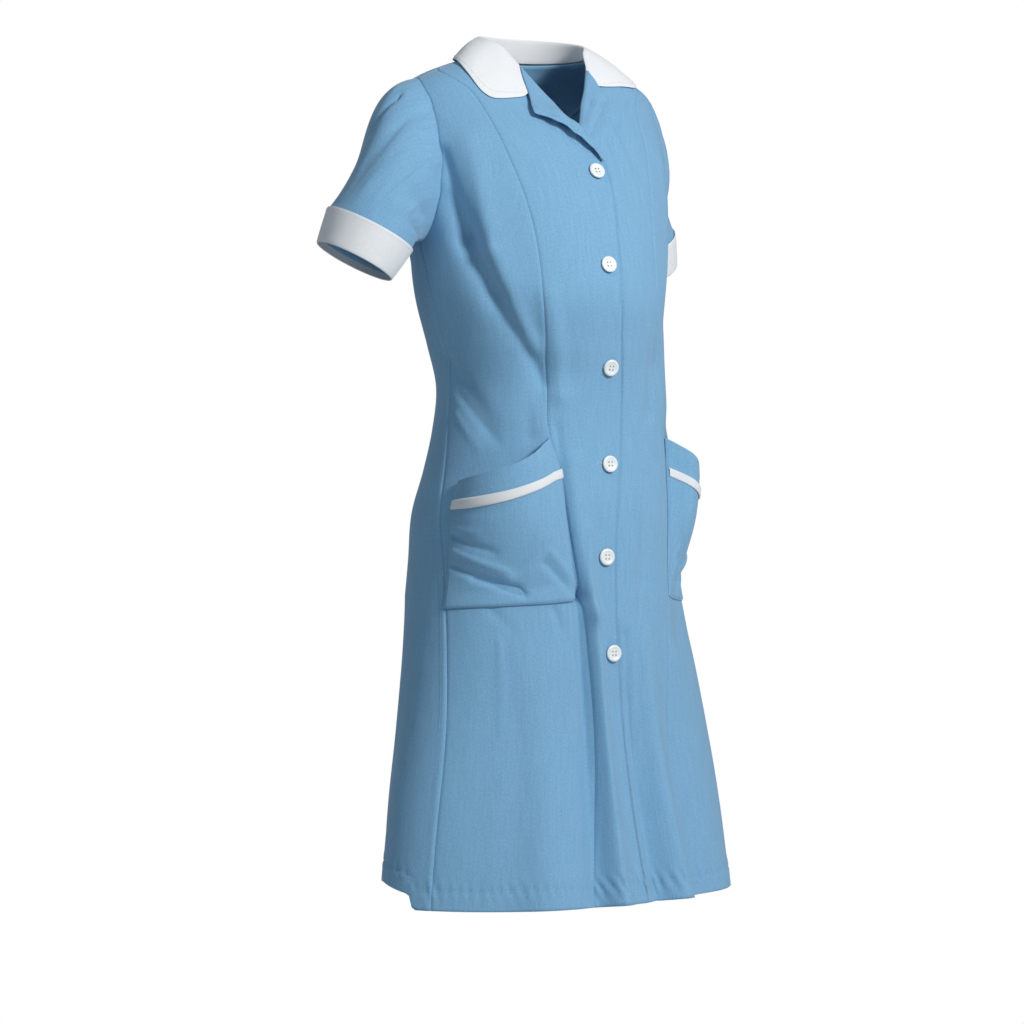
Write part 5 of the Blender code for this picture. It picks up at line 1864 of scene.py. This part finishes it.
@dataclass
class ButtonRow:
    """Six four-hole buttons with their thread and their worked buttonholes."""

    wardrobe: Wardrobe
    depth: float = 0.0030
    hole: float = 0.0021
    spacing: float = 0.0042
    lean: float = math.radians(-9.0)
    lean_rise: float = 0.0012
    aside: float = -0.0015
    shifted_button: int = 4
    shifted_by: float = 0.0095
    slot_length: float = 0.0195
    slot_pitch: float = 0.0007
    slit_pitch: float = 0.0015
    front_radius: float = 0.125

    def frame_at(self, height: float, degrees: float, out: float) -> Matrix:
        """Placement of something on the right front, with Z outward and X along the body.

        Args:
            height: Its height.
            degrees: Its place round the dress.
            out: Distance out of the cloth.

        Returns:
            The placement.
        """
        place = Vector(FORM.cloth(degrees, height, out))
        normal = Vector(FORM.out(np.array(degrees), np.array(height)))
        x = Vector(FORM.folded(degrees + 0.5, height) - FORM.folded(degrees - 0.5, height))
        y = normal.cross(x).normalized()
        turn = Matrix((y.cross(normal), y, normal)).transposed().to_4x4()
        return Matrix.Translation(place) @ turn

    def holes(self, depth: float) -> list[Vector]:
        """Middles of the four holes in the button's own frame, at a depth."""
        half = self.spacing / 2
        return [Vector((x, y, depth)) for x in (-half, half) for y in (-half, half)]

    def disc(self, name: str, matrix: Matrix) -> bpy.types.Object:
        """A turned button: a rounded rim, a dished middle and four holes.

        Args:
            name: The piece's name.
            matrix: The button's placement.

        Returns:
            The piece.
        """
        half = self.depth / 2
        profile = [
            # radius, height
            (0.0000, half - 0.0007), (0.0052, half - 0.0007), (0.0062, half - 0.0005),
            (0.0069, half - 0.0001), (0.0078, half), (0.0090, half - 0.0002),
            (0.0098, half - 0.0008), (0.0100, 0.0000), (0.0097, -half + 0.0007), (0.0088, -half),
            (0.0000, -half),
        ]
        shape = bmesh.new()
        verts = [shape.verts.new((r, 0.0, z)) for r, z in profile]
        edges = [shape.edges.new(pair) for pair in zip(verts, verts[1:])]
        bmesh.ops.spin(shape, geom=verts + edges, cent=(0, 0, 0), axis=(0, 0, 1),
                       angle=math.tau, steps=48, use_merge=True)
        bmesh.ops.remove_doubles(shape, verts=shape.verts, dist=1e-6)
        bmesh.ops.recalc_face_normals(shape, faces=shape.faces[:])
        bmesh.ops.transform(shape, matrix=matrix, verts=shape.verts)
        piece = finish_object(name, shape, self.wardrobe.plastic)
        self.drill(piece, matrix)
        return piece

    def drill(self, piece: bpy.types.Object, matrix: Matrix) -> None:
        """Cuts the four holes and keeps the cut mesh.

        Args:
            piece: The button.
            matrix: Its placement.
        """
        shape = bmesh.new()
        for middle in self.holes(0.0):
            bmesh.ops.create_cone(shape, cap_ends=True, segments=16, radius1=self.hole / 2,
                                  radius2=self.hole / 2, depth=self.depth * 3,
                                  matrix=matrix @ Matrix.Translation(middle))
        drill = add_object("drill", to_mesh("drill", shape))
        cut = piece.modifiers.new("holes", "BOOLEAN")
        cut.operation = "DIFFERENCE"
        cut.solver = "EXACT"
        cut.object = drill
        bpy.context.view_layer.update()
        graph = bpy.context.evaluated_depsgraph_get()
        made = bpy.data.meshes.new_from_object(piece.evaluated_get(graph))
        piece.modifiers.clear()
        piece.data = made
        made.shade_smooth()
        made.set_sharp_from_angle(angle=math.radians(40))
        bpy.data.objects.remove(drill, do_unlink=True)

    def stitches(self, name: str, material: bpy.types.Material, slot: str, thickness: float,
                 places: list[tuple[Matrix, bool, float]]) -> None:
        """Lays single stitches as one piece.

        Args:
            name: The piece's name.
            material: Its thread.
            slot: The record's material slot; not used.
            thickness: Thickness of the thread.
            places: Frame of each stitch, whether it lies along the frame's Y, and its length.
        """
        run = StitchRun(name, material, slot, thickness=thickness)
        shape = bmesh.new()
        for frame, crosswise, length in places:
            turn = np.array(frame.to_3x3())
            run.thread(shape, np.array(frame.translation), turn[:, 1 if crosswise else 0],
                       turn[:, 2], length)
        finish_object(name, shape, material)

    def sewing(self, name: str, matrix: Matrix) -> None:
        """Thread from the cloth up into the four holes, below the button's face.

        Args:
            name: The piece's name.
            matrix: The button's placement.
        """
        upright = Matrix.Rotation(math.radians(-90), 4, "Y")
        places = [(matrix @ Matrix.Translation(foot) @ upright, False, 0.0036)
                  for foot in self.holes(-self.depth / 2)]
        self.stitches(name, self.wardrobe.white_thread, BUTTON_SLOT, 0.0011, places)

    def buttonhole(self, name: str, height: float, degrees: float, aside: float) -> None:
        """A worked buttonhole: two dense rows of stitches, a bar at each end, and dark stitches down the
        slit, which are painted shade in the cut.

        Args:
            name: The piece's name.
            height: Height of its button.
            degrees: Place of its button round the body.
            aside: How far its middle lies from the button's, away from the front edge.
        """
        first = -aside - self.slot_length / 2
        last = first + self.slot_length

        def stitch(x: float, y: float, length: float, lift: float,
                   crosswise: bool = True) -> tuple[Matrix, bool, float]:
            """One stitch at a place beside the button's middle."""
            turned = degrees + math.degrees(x / self.front_radius)
            frame = self.frame_at(height, turned, WALL / 2 + lift)
            return frame @ Matrix.Translation((0, y, 0)), crosswise, length

        edging = [stitch(x, y, 0.0017, 0.0002) for x in np.arange(first, last, self.slot_pitch)
                  for y in (-0.0011, 0.0011)]
        bars = [stitch(x, 0.0, 0.0042, 0.0003) for x in (first - 0.0004, last)]
        # Dark stitches down the slit: painted shade in the cut
        slit_shade = [stitch(x, 0.0, 0.0024, 0.0001, False)
                for x in np.arange(first + 0.001, last - 0.001, self.slit_pitch)]
        self.stitches(name, self.wardrobe.edge_thread, BLUE_SLOT, 0.0007, edging + bars)
        self.stitches(name + "_slit", self.wardrobe.slit_shade, BLUE_SLOT, 0.0005, slit_shade)

    def build(self) -> None:
        """Makes every button where its solid is."""
        for number, (height, degrees, stand) in enumerate(BUTTONS, start=1):
            out = WALL / 2 + stand + self.depth / 2 + self.lean_rise
            matrix = self.frame_at(height, degrees, out) @ Matrix.Translation((self.aside, 0, 0))
            matrix = matrix @ Matrix.Rotation(self.lean, 4, "Y")
            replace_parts(self.disc(f"button_{number}_disc", matrix), f"button_{number}")
            self.sewing(f"button_{number}_thread", matrix)
            aside = self.shifted_by if number == self.shifted_button else 0.0
            self.buttonhole(f"buttonhole_{number}", height, degrees, aside)


# ---------------------------------------------------------------------------------------------
# Studio
# ---------------------------------------------------------------------------------------------


@dataclass(frozen=True)
class SoftLight:
    """A square soft light that looks at the dress."""

    name: str
    place: tuple[float, float, float]
    power: float
    size: float
    aim: tuple[float, float, float] = (0.0, 0.0, -0.5)

    def build(self) -> None:
        """Hangs the light."""
        data = bpy.data.lights.new(self.name, "AREA")
        data.energy = self.power
        data.size = self.size
        lamp = add_object(self.name, data)
        lamp.location = self.place
        toward = Vector(self.aim) - Vector(self.place)
        lamp.rotation_euler = toward.to_track_quat("-Z", "Y").to_euler()


LIGHTS = (
    SoftLight("key", (0.30, -2.6, 0.85), 64.0, 0.6),
    SoftLight("left", (-2.4, -1.0, 1.1), 8.0, 1.2),
    SoftLight("top", (0.2, -1.8, 2.6), 8.0, 0.4),
    SoftLight("rim", (0.8, 2.9, 1.2), 14.0, 2.0),
)


@dataclass
class Studio:
    """Camera, soft lights and a pale floor."""

    azimuth: float = -37.0
    distance: float = 3.5
    height: float = -0.54
    aside: float = -0.0413
    lens: float = 101.25
    sensor: float = 36.0
    floor_height: float = -1.50
    floor_radius: float = 1.8
    ambient: float = 0.20
    ambient_colour: Colour = (0.76, 0.96, 1.12)
    backdrop: float = 1.0

    def camera(self) -> None:
        """The camera at the photograph's angle."""
        turn = math.radians(self.azimuth)
        right = Vector((math.cos(turn), math.sin(turn), 0))
        toward = Vector((math.sin(turn), -math.cos(turn), 0))
        data = bpy.data.cameras.new("camera")
        data.lens = self.lens
        data.sensor_width = self.sensor
        camera = add_object("camera", data)
        camera.location = toward * self.distance + right * self.aside + Vector((0, 0, self.height))
        camera.rotation_euler = (-toward).to_track_quat("-Z", "Y").to_euler()
        bpy.context.scene.camera = camera

    def world(self) -> None:
        """A white room: full white behind the dress, and a softer light on it."""
        world = bpy.data.worlds.new("studio")
        world.use_nodes = True
        tree = world.node_tree
        blend = tree.nodes.new("ShaderNodeMixShader")
        path = tree.nodes.new("ShaderNodeLightPath")
        tree.links.new(path.outputs["Is Camera Ray"], blend.inputs[0])
        ambient, backdrop = tree.nodes["Background"], tree.nodes.new("ShaderNodeBackground")
        rooms = ((ambient, self.ambient_colour, self.ambient),
                 (backdrop, (1.0, 1.0, 1.0), self.backdrop))
        for socket, (node, colour, strength) in zip(blend.inputs[1:], rooms):
            node.inputs["Color"].default_value = (*colour, 1.0)
            node.inputs["Strength"].default_value = strength
            tree.links.new(node.outputs[0], socket)
        tree.links.new(blend.outputs[0], tree.nodes["World Output"].inputs["Surface"])
        bpy.context.scene.world = world

    def floor(self) -> None:
        """A wide pale floor under the dress."""
        shape = bmesh.new()
        bmesh.ops.create_circle(shape, cap_ends=True, segments=96, radius=self.floor_radius,
                                matrix=Matrix.Translation((0, 0, self.floor_height)))
        mesh = to_mesh("floor", shape)
        nodes = Nodes("pale_floor")
        nodes.shader.inputs["Base Color"].default_value = (0.86, 0.86, 0.86, 1.0)
        nodes.shader.inputs["Roughness"].default_value = 0.9
        mesh.materials.append(nodes.material)
        add_object("floor", mesh)

    def build(self) -> None:
        """Sets up the whole studio."""
        self.camera()
        self.world()
        self.floor()
        for light in LIGHTS:
            light.build()
        bpy.context.scene.view_settings.view_transform = "Standard"


def main() -> None:
    """Builds the dress and its studio."""
    logging.basicConfig(level=logging.INFO, format="%(name)s: %(message)s")
    for item in list(bpy.data.objects):
        bpy.data.objects.remove(item, do_unlink=True)
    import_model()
    Studio().build()
    wardrobe = Wardrobe()
    bodice = Bodice(wardrobe)
    bodice.build()
    bodice.stitch()
    for side in Side:
        Sleeve(side, wardrobe).build()
    Neckline(wardrobe).build()
    for side in Side:
        PatchPocket(side, wardrobe).build()
    ButtonRow(wardrobe).build()


if __name__ == "__main__":
    main()
